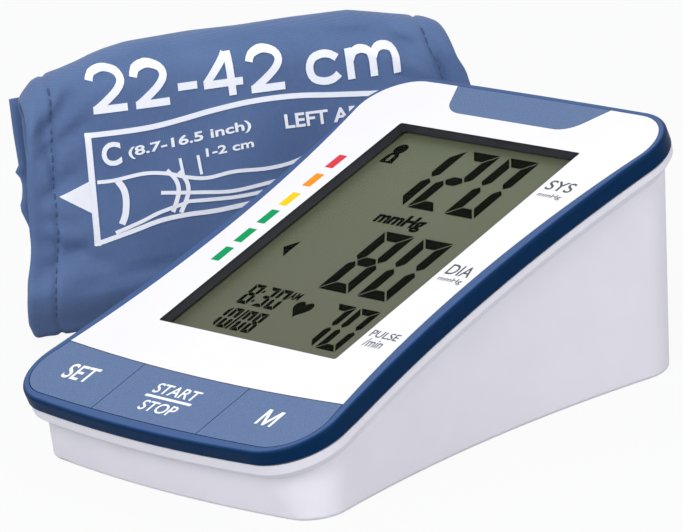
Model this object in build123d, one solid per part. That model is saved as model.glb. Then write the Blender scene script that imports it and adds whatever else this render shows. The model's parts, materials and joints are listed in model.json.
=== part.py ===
"""Desktop upper-arm blood pressure monitor with its rolled cuff.

Frame: +Z up, +Y towards the back of the monitor, origin at the middle of the monitor's flat underside.
The monitor is a wedge: its face plane is tilted about X. Pieces that lie along that plane are drawn in panel
coordinates (x across, s up the slope, depth below the face) and then moved by PANEL.
"""
from build123d import *
from dataclasses import dataclass, replace
from math import cos, radians, sin, tan
import os

# ---- driving dimensions, millimetres and degrees ------------------------------------------------------------
TILT = 17.55            # slope of the face
TOP_Z = 47.7            # height of the face plane above the origin
WALL = 2.2              # housing wall
FIT = 0.2               # clearance round a piece that is dropped in
EDGE_ROUND = 1.1        # outer edge of the navy rim
FOOT_ROUND = 1.2        # edge between the base walls and the underside

RIM_DEPTH = 5.2         # height of the navy rim's side
RIM_WALL = 1.8
FRONT_RISE = 2.3        # degrees by which the joint between rim and base rises at the front
FRONT_RISE_S = -58.0    # where it starts to rise
FACE_T = 0.8            # printed face plate
DECK_T = 1.8            # deck of the upper frame under the face plate
FLANGE_INSET = 0.35     # base flange stands this far inside the rim
FLANGE_DEPTH = 2.5
GROOVE_T = 0.5          # shadow line between the rim and the flange
GROOVE_INSET = 1.3
COVE_DEPTH = 3.2        # height of the slope from the flange to the wall

WINDOW_W = 74.5
WINDOW_L = 104.8
WINDOW_X = 1.2          # the window sits right of the centre line
WINDOW_S = 8.9
WINDOW_R = 0.8

TAB_W = 63.0            # blue tab at the back of the face
TAB_FLAT_W = 50.0
TAB_L = 12.2
TAB_R = 9.0

KEY_SPLIT = 22.2        # half width of the middle key
KEY_EDGE_S = -59.4      # boundary between face plate and keys at the sides
KEY_BOW = 3.0
KEY_GAP = 0.25
KEY_CAP_T = 2.65
KEY_FLANGE_T = 0.6
KEY_FLANGE_W = 0.6
KEY_SKIN = 1.6
KEY_WALL = 1.3
KEY_POST_R = 2.2
KEY_POST_T = 0.8        # the post stands this far below the flange
KEY_TRAVEL = 0.7
KEY_S = -71.5           # line on which the three switches stand
KEY_SHIFT = 2.0         # the outer switches stand this far inside the middle of their keys

LENS_T = 0.6
LENS_SET = 0.4          # the lens lies this far below the deck
LCD_AIR = 0.2           # air between the lens and the glass
LCD_T = 2.0
LCD_MARGIN = 2.0        # the glass runs this far under the bezel
REFLECTOR_T = 0.5
TRAY_T = 1.2
TRAY_WALL = 1.0
BEZEL_WALL = 1.6
BEZEL_LIP = 1.0
ZEBRA_W = 2.6

BOARD_DEPTH = 8.4       # top face of the board below the face
BOARD_T = 1.6
BOARD_W = 95.0
BOARD_NECK_W = 88.0
BOARD_BACK_S = 55.0
BOARD_NECK_S = -46.0
BOARD_FRONT_S = -79.0
POST_X = 44.7
POST_S = (-22.0, 42.0)
POST_R = 2.4
BOARD_SCREW_R = 0.9
BOARD_SCREW_L = 5.0
SWITCH_SIDE = 6.0
SWITCH_STEM = 1.0
SWITCH_GAP = 0.2        # free space under a fully pressed key
CHIPS = (               # x, s, width, length, height
    (8.0, 12.0, 14.0, 14.0, 1.8),
    (-14.0, 18.0, 10.0, 6.0, 1.6),
    (30.0, -6.0, 6.0, 4.0, 1.6),
    (-6.0, 34.0, 12.0, 5.0, 1.8),
    (12.0, -60.0, 8.0, 5.0, 1.6),
    (-20.0, -58.0, 6.0, 3.0, 1.2),
)
CAPACITOR_R = 3.2
CAPACITOR_H = 7.0
CAPACITORS = ((34.0, 8.0), (34.0, 30.0))

BOSS_R = 3.4
BOSS_INSET = 13.0       # screw tubes this far inside the widest part of the front
BOSS_INSET_BACK = 13.5
BOSS_FRONT_Y = -50.0
BOSS_BACK_Y = 62.0
SPLIT_FRONT_Z = 11.0    # where the base tube meets the upper boss
SPLIT_BACK_Z = 42.0
SCREW_R = 1.4
SCREW_HEAD_R = 2.6
SCREW_HEAD_T = 2.0
SCREW_BITE = 7.0
SCREW_SEAT = 2.0
SLOT_W = 0.8            # cross slot in the screw heads
SLOT_L = 3.2
SLOT_DEPTH = 1.0

PAD_R = 5.0             # rubber pads
PAD_T = 1.4
PAD_INSET = 15.8
PAD_DOOR_GAP = 5.4       # space between the battery door and the back pads
PAD_FRONT_Y = -64.0
PAD_BACK_Y = 48.0

CELL_R = 7.15
CELL_L = 49.5
CELL_NUB_R = 2.7
CELL_NUB_L = 1.0
CELL_PITCH = 15.0
CELL_COUNT = 4
CELL_LIFT = 0.3
SPRING_L = 4.6
SPRING_TURNS = 3
SPRING_WIRE_R = 0.35
PLATE_T = 0.4
BAY_FRONT_Y = 9.0
BAY_WALL = 1.6
BAY_HEADROOM = 0.9

DOOR_T = 2.0
DOOR_LIFT = 0.3         # the door stands this far above the table
DOOR_GAP = 0.3
DOOR_LAP = 1.4          # the door laps the bay walls
HINGE_R = 1.4
HINGE_PIN_R = 0.9
HINGE_PIN_L = 2.0
HINGE_PLAY = 0.05
HINGE_SET = 1.7         # knuckle axis behind the door plate
LATCH_W = 12.0
LATCH_NIB = 1.0
GRIP_RIBS = 5           # thumb grooves behind the latch
GRIP_PITCH = 2.5
GRIP_W = 1.0
GRIP_DEPTH = 0.4
GRIP_START = 6.0

PUMP_Y = -16.0
PUMP_Z = 15.0
MOTOR_R = 12.0
MOTOR_L = 31.0
MOTOR_X = 0.0           # joint between motor and pump head
MOTOR_CAP_L = 1.5
HEAD_R = 12.2
HEAD_L = 18.0
HEAD_GROOVE_W = 0.8
HEAD_GROOVE_DEPTH = 0.6
NOZZLE_R = 1.6
NOZZLE_L = 4.0
SADDLE_W = 20.0
SADDLE_L = 14.0
SADDLE_TOP = 9.0
CLAMP_T = 0.6
CLAMP_L = 6.0
CLAMP_EAR = 5.0
CLAMP_SCREW_R = 0.9
CLAMP_SCREW_L = 5.0
CLAMP_HEAD_T = 1.2

HOSE_R = 2.6
MANIFOLD_X = -30.5
MANIFOLD_SIDE = 6.4
VALVE_SIZE = (14.0, 11.0, 11.0)
VALVE_Y = -38.0
SENSOR_SIZE = (8.0, 8.0, 5.0)
SENSOR_Y = 0.0
HOSE_BEND_R = 7.0

SOCKET_R = 4.4          # barrel through the wall
SOCKET_FLANGE_R = 6.5
SOCKET_FLANGE_T = 1.4
SOCKET_BORE_R = 2.5
SOCKET_BORE_L = 9.5
SOCKET_L = 15.0

JACK_X = 30.0
JACK_Z = 30.0
JACK_SIDE = 9.0
JACK_L = 12.0
JACK_BORE_R = 2.75
JACK_PIN_R = 1.0
JACK_BORE_L = 9.0
JACK_NOSE = 1.0         # wall of the round nose in the hole
JACK_PAD = 1.5          # flat pad on the inside of the back wall

BUZZER_R = 6.0
BUZZER_T = 2.6
BUZZER_X = -30.0
BUZZER_S = 40.0
BUZZER_HOLE_R = 1.0
WIRE_R = 0.6
LEAD_X = 3.0
LEAD_REACH = 6.0
LEAD_BEND_R = 3.0

CUFF_W = 142.0          # width of the cuff, along the roll's axis
CUFF_RUN = 59.0         # straight height of each layer of the flattened roll
CUFF_PITCH = 4.4
CUFF_TURNS = 6          # straight runs from the inner end to the outer end
FABRIC_T = 1.0
BLADDER_T = 1.6
BLADDER_INSET = 9.0
HEM_W = 7.0
CUFF_X = -112.0
CUFF_Y = 60.3
CUFF_HEADING = 61.3     # direction of the roll's axis from +X
PATCH_INSET = 18.0
PORT_R = 8.0
PORT_T = 1.6
PORT_RISE = 7.0         # the nozzle's axis stands this far off the port's disc
PORT_ELBOW_R = 3.4
PORT_ELBOW_L = 4.0
PORT_NOZZLE_R = 2.4
PORT_NOZZLE_L = 12.0
PORT_BORE_R = 1.3

SLOPE = radians(TILT)
PANEL = Pos(0, 0, TOP_Z) * Rot(TILT, 0, 0)
FAR = 200.0             # larger than the object, for cutters


# ---- outlines -----------------------------------------------------------------------------------------------
@dataclass(frozen=True)
class Outline:
    """A plan with drawn-in sides, bowed ends and round corners, symmetrical about x = 0."""

    half_front: float
    half_waist: float
    half_back: float
    front: float
    waist: float
    back: float
    bow_front: float
    bow_back: float
    r_front: float
    r_back: float

    def grown(self, by):
        """The same outline moved outwards by a distance."""
        return replace(
            self,
            half_front=self.half_front + by,
            half_waist=self.half_waist + by,
            half_back=self.half_back + by,
            front=self.front - by,
            back=self.back + by,
            r_front=self.r_front + by,
            r_back=self.r_back + by,
        )

    def inside(self, **less):
        """An outline whose sizes are smaller than this one's by the amounts named."""
        ends = {"front": -1, "waist": -1}       # these two grow towards the back
        return replace(self, **{name: getattr(self, name) - ends.get(name, 1) * by for name, by in less.items()})

    def face(self):
        """The outline as a face in the XY plane."""
        front_left, front_right = (-self.half_front, self.front), (self.half_front, self.front)
        back_left, back_right = (-self.half_back, self.back), (self.half_back, self.back)
        plan = make_face([
            ThreePointArc(front_left, (0, self.front - self.bow_front), front_right),
            ThreePointArc(front_right, (self.half_waist, self.waist), back_right),
            ThreePointArc(back_right, (0, self.back + self.bow_back), back_left),
            ThreePointArc(back_left, (-self.half_waist, self.waist), front_left),
        ])
        corners = plan.vertices().sort_by(Axis.Y)
        plan = fillet(corners[:2], self.r_front)
        corners = [v for v in plan.vertices() if v.Y > self.back - 1 and abs(v.X) > self.half_back - 1]
        return fillet(corners, self.r_back).face()


# the rim, the face with its keys, and the top of the base walls lie along the panel; the underside is level
RIM = Outline(half_front=65.0, half_waist=56.2, half_back=64.3, front=-83.9, waist=-4.0, back=84.3,
              bow_front=4.2, bow_back=0.6, r_front=18.0, r_back=17.0)
FACE = RIM.inside(half_front=2.2, half_waist=4.0, half_back=1.3, front=1.9, waist=3.0, back=2.1,
                  bow_front=1.6, r_front=4.0, r_back=2.0)
WALLS = RIM.inside(half_front=3.0, half_waist=3.0, half_back=3.8, front=2.3, back=3.9,
                   bow_front=0.6, r_front=1.0, r_back=3.0)
FOOT = RIM.inside(half_front=4.7, half_waist=5.1, half_back=7.1, front=12.5, waist=1.5, back=7.9,
                  bow_front=-0.4, bow_back=0.1, r_front=8.0, r_back=4.0)


def slope_y(s, depth=0.0):
    """World y of a point on the centre line of the panel."""
    return s * cos(SLOPE) + depth * sin(SLOPE)


def slope_z(s, depth=0.0):
    """World z of a point on the centre line of the panel."""
    return TOP_Z + s * sin(SLOPE) - depth * cos(SLOPE)


def slope_s(y, depth=0.0):
    """Panel coordinate s of a point with world y at a depth."""
    return (y - depth * sin(SLOPE)) / cos(SLOPE)


WALL_DEPTH = RIM_DEPTH + FLANGE_DEPTH + COVE_DEPTH
SIDE_LEAN = (WALLS.half_waist - FOOT.half_waist) / slope_z(WALLS.waist, WALL_DEPTH)
BACK_LEAN = (slope_y(WALLS.back, WALL_DEPTH) - FOOT.back) / slope_z(WALLS.back, WALL_DEPTH)


# ---- helpers ------------------------------------------------------------------------------------------------
def slab(face, top, bottom):
    """A face of the panel, from one depth to another."""
    return PANEL * Pos(0, 0, -bottom) * extrude(face, bottom - top)


def block(x0, x1, s0, s1, top, bottom):
    """A block in panel coordinates."""
    size = Box(x1 - x0, s1 - s0, bottom - top, align=(Align.MIN, Align.MIN, Align.MAX))
    return PANEL * Pos(x0, s0, -top) * size


def brick(x0, x1, y0, y1, z0, z1):
    """A block in world coordinates."""
    return Pos(x0, y0, z0) * Box(x1 - x0, y1 - y0, z1 - z0, align=(Align.MIN, Align.MIN, Align.MIN))


def panel_rod(x, s, top, bottom, radius):
    """A cylinder square to the panel."""
    size = Cylinder(radius, bottom - top, align=(Align.CENTER, Align.CENTER, Align.MAX))
    return PANEL * Pos(x, s, -top) * size


def rod_z(x, y, z0, z1, radius):
    """An upright cylinder."""
    return Pos(x, y, z0) * Cylinder(radius, z1 - z0, align=(Align.CENTER, Align.CENTER, Align.MIN))


def rod_x(x0, x1, y, z, radius):
    """A cylinder along X."""
    size = Cylinder(radius, x1 - x0, align=(Align.CENTER, Align.CENTER, Align.MIN))
    return Pos(x0, y, z) * Rot(0, 90, 0) * size


def rod_y(x, y0, y1, z, radius):
    """A cylinder along Y."""
    size = Cylinder(radius, y1 - y0, align=(Align.CENTER, Align.CENTER, Align.MIN))
    return Pos(x, y0, z) * Rot(-90, 0, 0) * size


def tube(points, radii, outer, inner=0.0):
    """A hose or wire along straight runs joined by arcs."""
    path = FilletPolyline(*points, radius=radii) if len(points) > 2 else Line(*points)
    start = Plane(origin=path @ 0, z_dir=path % 0)
    body = sweep(start * Circle(outer), path=path)
    return body - sweep(start * Circle(inner), path=path) if inner else body


def above_joint(depth):
    """All that lies above a depth of the panel, which rises at the front, as the joint of rim and base does."""
    reach = FAR / 2
    front = (FRONT_RISE_S - reach, -depth + reach * tan(radians(FRONT_RISE)))
    side = make_face(Polyline((reach, -depth), (FRONT_RISE_S, -depth), front, (front[0], reach), (reach, reach),
                              (reach, -depth)))
    return PANEL * extrude(Plane.YZ.offset(-reach) * side, FAR)


def below_arc(grow=0.0):
    """The region of the panel in front of the face plate, as a face."""
    side, edge = FAR / 2, KEY_EDGE_S + grow
    half = FACE.half_front
    reach = KEY_BOW * (side / half) ** 2
    left, middle, right = (-side, edge - KEY_BOW + reach), (0, edge - KEY_BOW), (side, edge - KEY_BOW + reach)
    return make_face([
        ThreePointArc(left, middle, right),
        Polyline(right, (side, -FAR), (-side, -FAR), left),
    ])


def window(grow=0.0):
    """The window's outline as a face."""
    plan = RectangleRounded(WINDOW_W + 2 * grow, WINDOW_L + 2 * grow, WINDOW_R + max(grow, 0) / 2)
    return (Pos(WINDOW_X, WINDOW_S) * plan).face()


def mirrored(points):
    """Each point and its mirror image across x = 0."""
    return [(side * x, y) for x, y in points for side in (-1, 1)]


# ---- housing ------------------------------------------------------------------------------------------------
BOSSES = [(x, y, SPLIT_FRONT_Z) for x, y in mirrored([(WALLS.half_front - BOSS_INSET, BOSS_FRONT_Y)])]
BOSSES += [(x, y, SPLIT_BACK_Z) for x, y in mirrored([(WALLS.half_back - BOSS_INSET_BACK, BOSS_BACK_Y)])]
KEY_X = (KEY_SPLIT + FACE.half_front) / 2 - KEY_SHIFT

BAY_HALF = CELL_PITCH * CELL_COUNT / 2 + FIT
BAY_FLOOR = DOOR_LIFT + DOOR_T
BAY_TOP = BAY_FLOOR + CELL_LIFT + 2 * CELL_R + BAY_HEADROOM
BAY_BACK_Y = BAY_FRONT_Y + 2 * PLATE_T + CELL_L + CELL_NUB_L + SPRING_L
CELL_Z = BAY_FLOOR + CELL_LIFT + CELL_R
DOOR_HALF = BAY_HALF + DOOR_LAP
DOOR_FRONT_Y = BAY_FRONT_Y - DOOR_LAP
PADS = mirrored([(FOOT.half_front - PAD_INSET, PAD_FRONT_Y), (DOOR_HALF + PAD_DOOR_GAP + PAD_R, PAD_BACK_Y)])
HINGE_Y = BAY_BACK_Y + BAY_WALL + HINGE_R + DOOR_GAP
HINGE_Z = DOOR_LIFT + HINGE_R
HINGE_BLOCK = HINGE_PIN_L + 1.5
CLAMP_X = MOTOR_X + MOTOR_L / 2
CLAMP_POSTS = [PUMP_Y + side * (MOTOR_R + CLAMP_T + CLAMP_EAR / 2) for side in (-1, 1)]
SOCKET_FACE_X = -(FOOT.half_waist + SIDE_LEAN * (PUMP_Z - SOCKET_FLANGE_R) + SOCKET_FLANGE_T)
SOCKET_INNER_X = SOCKET_FACE_X + SOCKET_L - NOZZLE_L
JACK_Y = FOOT.back + BACK_LEAN * (JACK_Z - JACK_SIDE) - WALL - JACK_PAD      # face of the pad behind the back wall


def base_outer():
    """Outside of the base: flange, sloping cove and drafted walls down to the underside."""
    flange = RIM.grown(-FLANGE_INSET).face()
    cove_top = RIM_DEPTH + FLANGE_DEPTH
    cove = [PANEL * Pos(0, 0, -cove_top) * flange, PANEL * Pos(0, 0, -WALL_DEPTH) * WALLS.face()]
    walls = loft([cove[1], FOOT.face()], ruled=True)
    walls = fillet(walls.faces().sort_by(Axis.Z)[0].edges(), FOOT_ROUND)
    neck = slab(RIM.grown(-GROOVE_INSET).face(), 0, cove_top) - above_joint(RIM_DEPTH)
    band = slab(flange, 0, cove_top) - above_joint(RIM_DEPTH + GROOVE_T)
    return walls + loft(cove, ruled=True) + neck + band


def base_cavity():
    """Inside of the base, open at the top."""
    top = PANEL * Pos(0, 0, -RIM_DEPTH) * WALLS.grown(-WALL).face()
    bottom = Pos(0, 0, WALL) * FOOT.grown(-WALL).face()
    return loft([top, bottom], ruled=True) + slab(WALLS.grown(-WALL).face(), 0, RIM_DEPTH)


def make_base_shell():
    """Lower housing with battery bay, screw tubes, hinge blocks and openings."""
    cavity = base_cavity()
    inside = brick(-BAY_HALF - BAY_WALL, BAY_HALF + BAY_WALL, BAY_FRONT_Y - BAY_WALL, BAY_BACK_Y + BAY_WALL,
                   0, BAY_TOP + BAY_WALL)
    hinge_half = DOOR_HALF + DOOR_GAP + HINGE_BLOCK
    inside += brick(-hinge_half, hinge_half, BAY_BACK_Y, HINGE_Y + HINGE_R + WALL, 0, HINGE_Z + HINGE_R + WALL)
    inside += brick(JACK_X - JACK_SIDE, JACK_X + JACK_SIDE, JACK_Y, FAR / 2, JACK_Z - JACK_SIDE, JACK_Z + JACK_SIDE)
    for x, y, split in BOSSES:
        inside += rod_z(x, y, 0, split, BOSS_R)
    for y in CLAMP_POSTS:
        inside += rod_z(CLAMP_X, y, 0, SADDLE_TOP, CLAMP_EAR / 2)
        inside -= rod_z(CLAMP_X, y, SADDLE_TOP - CLAMP_SCREW_L, SADDLE_TOP, CLAMP_SCREW_R)
    outer = base_outer()
    shell = outer - cavity + (inside & outer)
    shell -= brick(-BAY_HALF, BAY_HALF, BAY_FRONT_Y, BAY_BACK_Y, -1, BAY_TOP)
    door_half = DOOR_HALF + DOOR_GAP
    shell -= brick(-door_half, door_half, DOOR_FRONT_Y - DOOR_GAP, HINGE_Y, -1, BAY_FLOOR + FIT / 2)
    shell -= rod_x(-door_half, door_half, HINGE_Y, HINGE_Z, HINGE_R + DOOR_GAP)
    shell -= brick(-door_half, door_half, HINGE_Y - HINGE_R, HINGE_Y + HINGE_R + DOOR_GAP, -1, HINGE_Z)
    pin_half = DOOR_HALF + HINGE_PIN_L + DOOR_GAP
    shell -= rod_x(-pin_half, pin_half, HINGE_Y, HINGE_Z, HINGE_PIN_R + HINGE_PLAY)
    latch_half = LATCH_W / 2 + DOOR_GAP
    shell -= brick(-latch_half, latch_half, DOOR_FRONT_Y - LATCH_NIB - 2 * DOOR_GAP, BAY_FRONT_Y,
                   -1, BAY_FLOOR + LATCH_NIB + 2 * DOOR_GAP)
    for x, y, split in BOSSES:
        shell -= rod_z(x, y, -1, split - SCREW_SEAT, SCREW_HEAD_R + FIT)
        shell -= rod_z(x, y, 0, split + 1, SCREW_R + FIT)
    for x, y in PADS:
        shell -= rod_z(x, y, -1, PAD_T, PAD_R + FIT / 2)
    shell -= rod_x(-FAR / 2, MANIFOLD_X, PUMP_Y, PUMP_Z, SOCKET_R + FIT / 2)
    shell -= rod_x(-FAR / 2, SOCKET_FACE_X + SOCKET_FLANGE_T, PUMP_Y, PUMP_Z, SOCKET_FLANGE_R + FIT / 2)
    return shell - rod_y(JACK_X, JACK_Y - 1, FAR / 2, JACK_Z, JACK_BORE_R + JACK_NOSE + FIT / 2)


def key_opening():
    """Opening in the upper frame for the three keys."""
    return slab(FACE.face(), -1, RIM_DEPTH) & slab(below_arc(), -1, RIM_DEPTH)


def make_upper_frame():
    """Navy frame: the visible rim, the deck under the face plate, board posts and screw bosses."""
    ring = slab(RIM.face(), 0, RIM_DEPTH)
    edges = ring.edges().filter_by(lambda e: abs((PANEL.inverse() * e).center().Z) < 0.01)
    ring = fillet(edges, EDGE_ROUND)
    ring -= slab(FACE.face(), -1, FACE_T)
    ring -= slab(RIM.grown(-RIM_WALL).face(), FACE_T + DECK_T, RIM_DEPTH + 1)
    ring &= above_joint(RIM_DEPTH)
    ring -= slab(window(BEZEL_WALL + FIT), -1, RIM_DEPTH)
    ring -= key_opening()
    for x, s in [(side * POST_X, s) for s in POST_S for side in (-1, 1)]:
        ring += panel_rod(x, s, FACE_T + DECK_T, BOARD_DEPTH, POST_R)
        ring -= panel_rod(x, s, BOARD_DEPTH - BOARD_SCREW_L, BOARD_DEPTH + 1, BOARD_SCREW_R)
    under_deck = slab(FACE.grown(FAR / 4).face(), FACE_T + DECK_T, FAR)
    for x, y, split in BOSSES:
        ring += rod_z(x, y, split, FAR / 2, BOSS_R) & under_deck
        ring -= rod_z(x, y, split - 1, split + SCREW_BITE, SCREW_R)
    return ring


def make_face_plate():
    """White printed plate with the window and the place of the tab cut out."""
    plate = slab(FACE.grown(-FIT / 2).face(), 0, FACE_T)
    plate -= slab(below_arc(KEY_GAP / 2), -1, FACE_T + 1)
    plate -= slab(window(), -1, FACE_T + 1)
    return plate - tab_blank(FIT / 2, -1, FACE_T + 1)


def tab_blank(grow, top, bottom):
    """The tab's shape: sides that lean in towards a straight front edge with round corners."""
    back, front = FACE.back + 2 * TAB_R, FACE.back - TAB_L
    lean = (TAB_W - TAB_FLAT_W) / 2 / TAB_L
    half_back = TAB_W / 2 + lean * 2 * TAB_R + grow
    half_front = TAB_FLAT_W / 2 + grow
    plan = make_face(Polyline((-half_back, back), (-half_front, front - grow), (half_front, front - grow),
                              (half_back, back), (-half_back, back)))
    plan = fillet(plan.vertices().sort_by(Axis.Y)[:2], TAB_R + grow).face()
    return slab(plan, top, bottom)


def make_top_tab():
    """Blue tab let into the back of the face plate."""
    return tab_blank(0, 0, FACE_T) & slab(FACE.grown(-FIT / 2).face(), -1, FACE_T + 1)


# ---- keys ---------------------------------------------------------------------------------------------------
def key_blank(left, right, grow, top, bottom):
    """A key's outline between two divisions, from one depth to another."""
    shrink = min(grow, 0)
    blank = slab(FACE.grown(grow - KEY_GAP).face(), top, bottom)
    blank &= slab(below_arc(grow - KEY_GAP / 2), top - 1, bottom + 1)
    return blank & block(left - shrink, right + shrink, -FAR, FAR / 2, top - 1, bottom + 1)


def make_key(left, right, centre):
    """A key cap with its hidden retaining flange and the post over its switch."""
    flange_bottom = KEY_CAP_T + KEY_FLANGE_T
    inside_rim = slab(RIM.grown(-RIM_WALL - KEY_GAP).face(), 0, flange_bottom)
    key = key_blank(left, right, 0, 0, KEY_CAP_T)
    key += key_blank(left, right, KEY_FLANGE_W, KEY_CAP_T, flange_bottom) & inside_rim
    key -= key_blank(left, right, -KEY_WALL, KEY_SKIN, flange_bottom + 1)
    return key + panel_rod(centre, KEY_S, KEY_SKIN, flange_bottom + KEY_POST_T, KEY_POST_R)


def make_keys():
    """The three keys of the flush front strip."""
    half_gap = KEY_GAP / 2
    return {
        "key_set": make_key(-FAR / 2, -KEY_SPLIT - half_gap, -KEY_X),
        "key_start_stop": make_key(-KEY_SPLIT + half_gap, KEY_SPLIT - half_gap, 0),
        "key_memory": make_key(KEY_SPLIT + half_gap, FAR / 2, KEY_X),
    }


# ---- display ------------------------------------------------------------------------------------------------
BEZEL_BOTTOM = FACE_T + DECK_T + LENS_SET
LENS_BOTTOM = BEZEL_BOTTOM + LENS_T
LCD_TOP = LENS_BOTTOM + LCD_AIR
LCD_BOTTOM = LCD_TOP + LCD_T
TRAY_TOP = LCD_BOTTOM + REFLECTOR_T


def plate(grow, top, bottom):
    """A plate with the window's outline grown on every side."""
    return slab(window(grow), top, bottom)


def zebra_cut(grow, top, bottom):
    """The strip along the front edge of the glass where the contact strip stands."""
    front = WINDOW_S - WINDOW_L / 2 - LCD_MARGIN
    half = WINDOW_W / 2 - LCD_MARGIN
    return block(WINDOW_X - half - grow, WINDOW_X + half + grow, front + 1 - grow, front + 1 + ZEBRA_W + grow,
                 top, bottom)


def make_display():
    """Bezel, lens, glass, reflector, tray and contact strip."""
    bezel = plate(BEZEL_WALL, FACE_T, BEZEL_BOTTOM)
    bezel += plate(BEZEL_WALL + BEZEL_LIP, FACE_T + DECK_T, BEZEL_BOTTOM)
    bezel -= plate(0, -1, BEZEL_BOTTOM + 1)
    tray = plate(LCD_MARGIN + FIT + TRAY_WALL, LCD_TOP, BOARD_DEPTH)
    tray -= plate(LCD_MARGIN + FIT, LCD_TOP - 1, TRAY_TOP)
    tray -= plate(LCD_MARGIN, TRAY_TOP + TRAY_T, BOARD_DEPTH + 1)
    tray -= zebra_cut(FIT, TRAY_TOP - 1, BOARD_DEPTH + 1)
    reflector = plate(LCD_MARGIN, LCD_BOTTOM, TRAY_TOP) - zebra_cut(FIT, LCD_BOTTOM - 1, TRAY_TOP + 1)
    return {
        "display_bezel": bezel,
        "display_lens": plate(BEZEL_WALL, BEZEL_BOTTOM, LENS_BOTTOM),
        "lcd_glass": plate(LCD_MARGIN, LCD_TOP, LCD_BOTTOM),
        "lcd_reflector": reflector,
        "lcd_tray": tray,
        "lcd_contact_strip": zebra_cut(0, LCD_BOTTOM, BOARD_DEPTH),
    }


# ---- circuit board ------------------------------------------------------------------------------------------
BOARD_BOTTOM = BOARD_DEPTH + BOARD_T
SWITCH_TOP = KEY_CAP_T + KEY_FLANGE_T + KEY_POST_T + KEY_TRAVEL + SWITCH_GAP


def make_board():
    """Main board, its components, the key switches, the buzzer and the board screws."""
    board = block(-BOARD_W / 2, BOARD_W / 2, BOARD_NECK_S, BOARD_BACK_S, BOARD_DEPTH, BOARD_BOTTOM)
    board += block(-BOARD_NECK_W / 2, BOARD_NECK_W / 2, BOARD_FRONT_S, BOARD_NECK_S, BOARD_DEPTH, BOARD_BOTTOM)
    screws = []
    for x, s in [(side * POST_X, s) for s in POST_S for side in (-1, 1)]:
        board -= panel_rod(x, s, BOARD_DEPTH - 1, BOARD_BOTTOM + 1, BOARD_SCREW_R + FIT)
        shank = panel_rod(x, s, BOARD_DEPTH - BOARD_SCREW_L + 1, BOARD_BOTTOM, BOARD_SCREW_R)
        screws.append(shank + panel_rod(x, s, BOARD_BOTTOM, BOARD_BOTTOM + BOARD_T, 2 * BOARD_SCREW_R))
    switches = []
    half = SWITCH_SIDE / 2
    for x in (-KEY_X, 0, KEY_X):
        can = block(x - half, x + half, KEY_S - half, KEY_S + half, SWITCH_TOP + SWITCH_STEM, BOARD_DEPTH)
        switches.append(can + panel_rod(x, KEY_S, SWITCH_TOP, SWITCH_TOP + SWITCH_STEM, half / 2))
    parts = [block(x, x + width, s, s + length, BOARD_BOTTOM, BOARD_BOTTOM + height)
             for x, s, width, length, height in CHIPS]
    parts += [panel_rod(x, s, BOARD_BOTTOM, BOARD_BOTTOM + CAPACITOR_H, CAPACITOR_R) for x, s in CAPACITORS]
    buzzer_end = BOARD_BOTTOM + BUZZER_T
    buzzer = panel_rod(BUZZER_X, BUZZER_S, BOARD_BOTTOM, buzzer_end, BUZZER_R)
    buzzer -= panel_rod(BUZZER_X, BUZZER_S, buzzer_end - BUZZER_T / 2, buzzer_end + 1, BUZZER_HOLE_R)
    return {
        "main_board": board,
        "board_components": Compound(parts),
        "key_switches": Compound(switches),
        "buzzer": buzzer,
        "board_screws": Compound(screws),
    }


# ---- air system ---------------------------------------------------------------------------------------------
MOTOR_END = MOTOR_X + MOTOR_L
HEAD_END = MOTOR_X - HEAD_L
MANIFOLD_HALF = MANIFOLD_SIDE / 2


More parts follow.
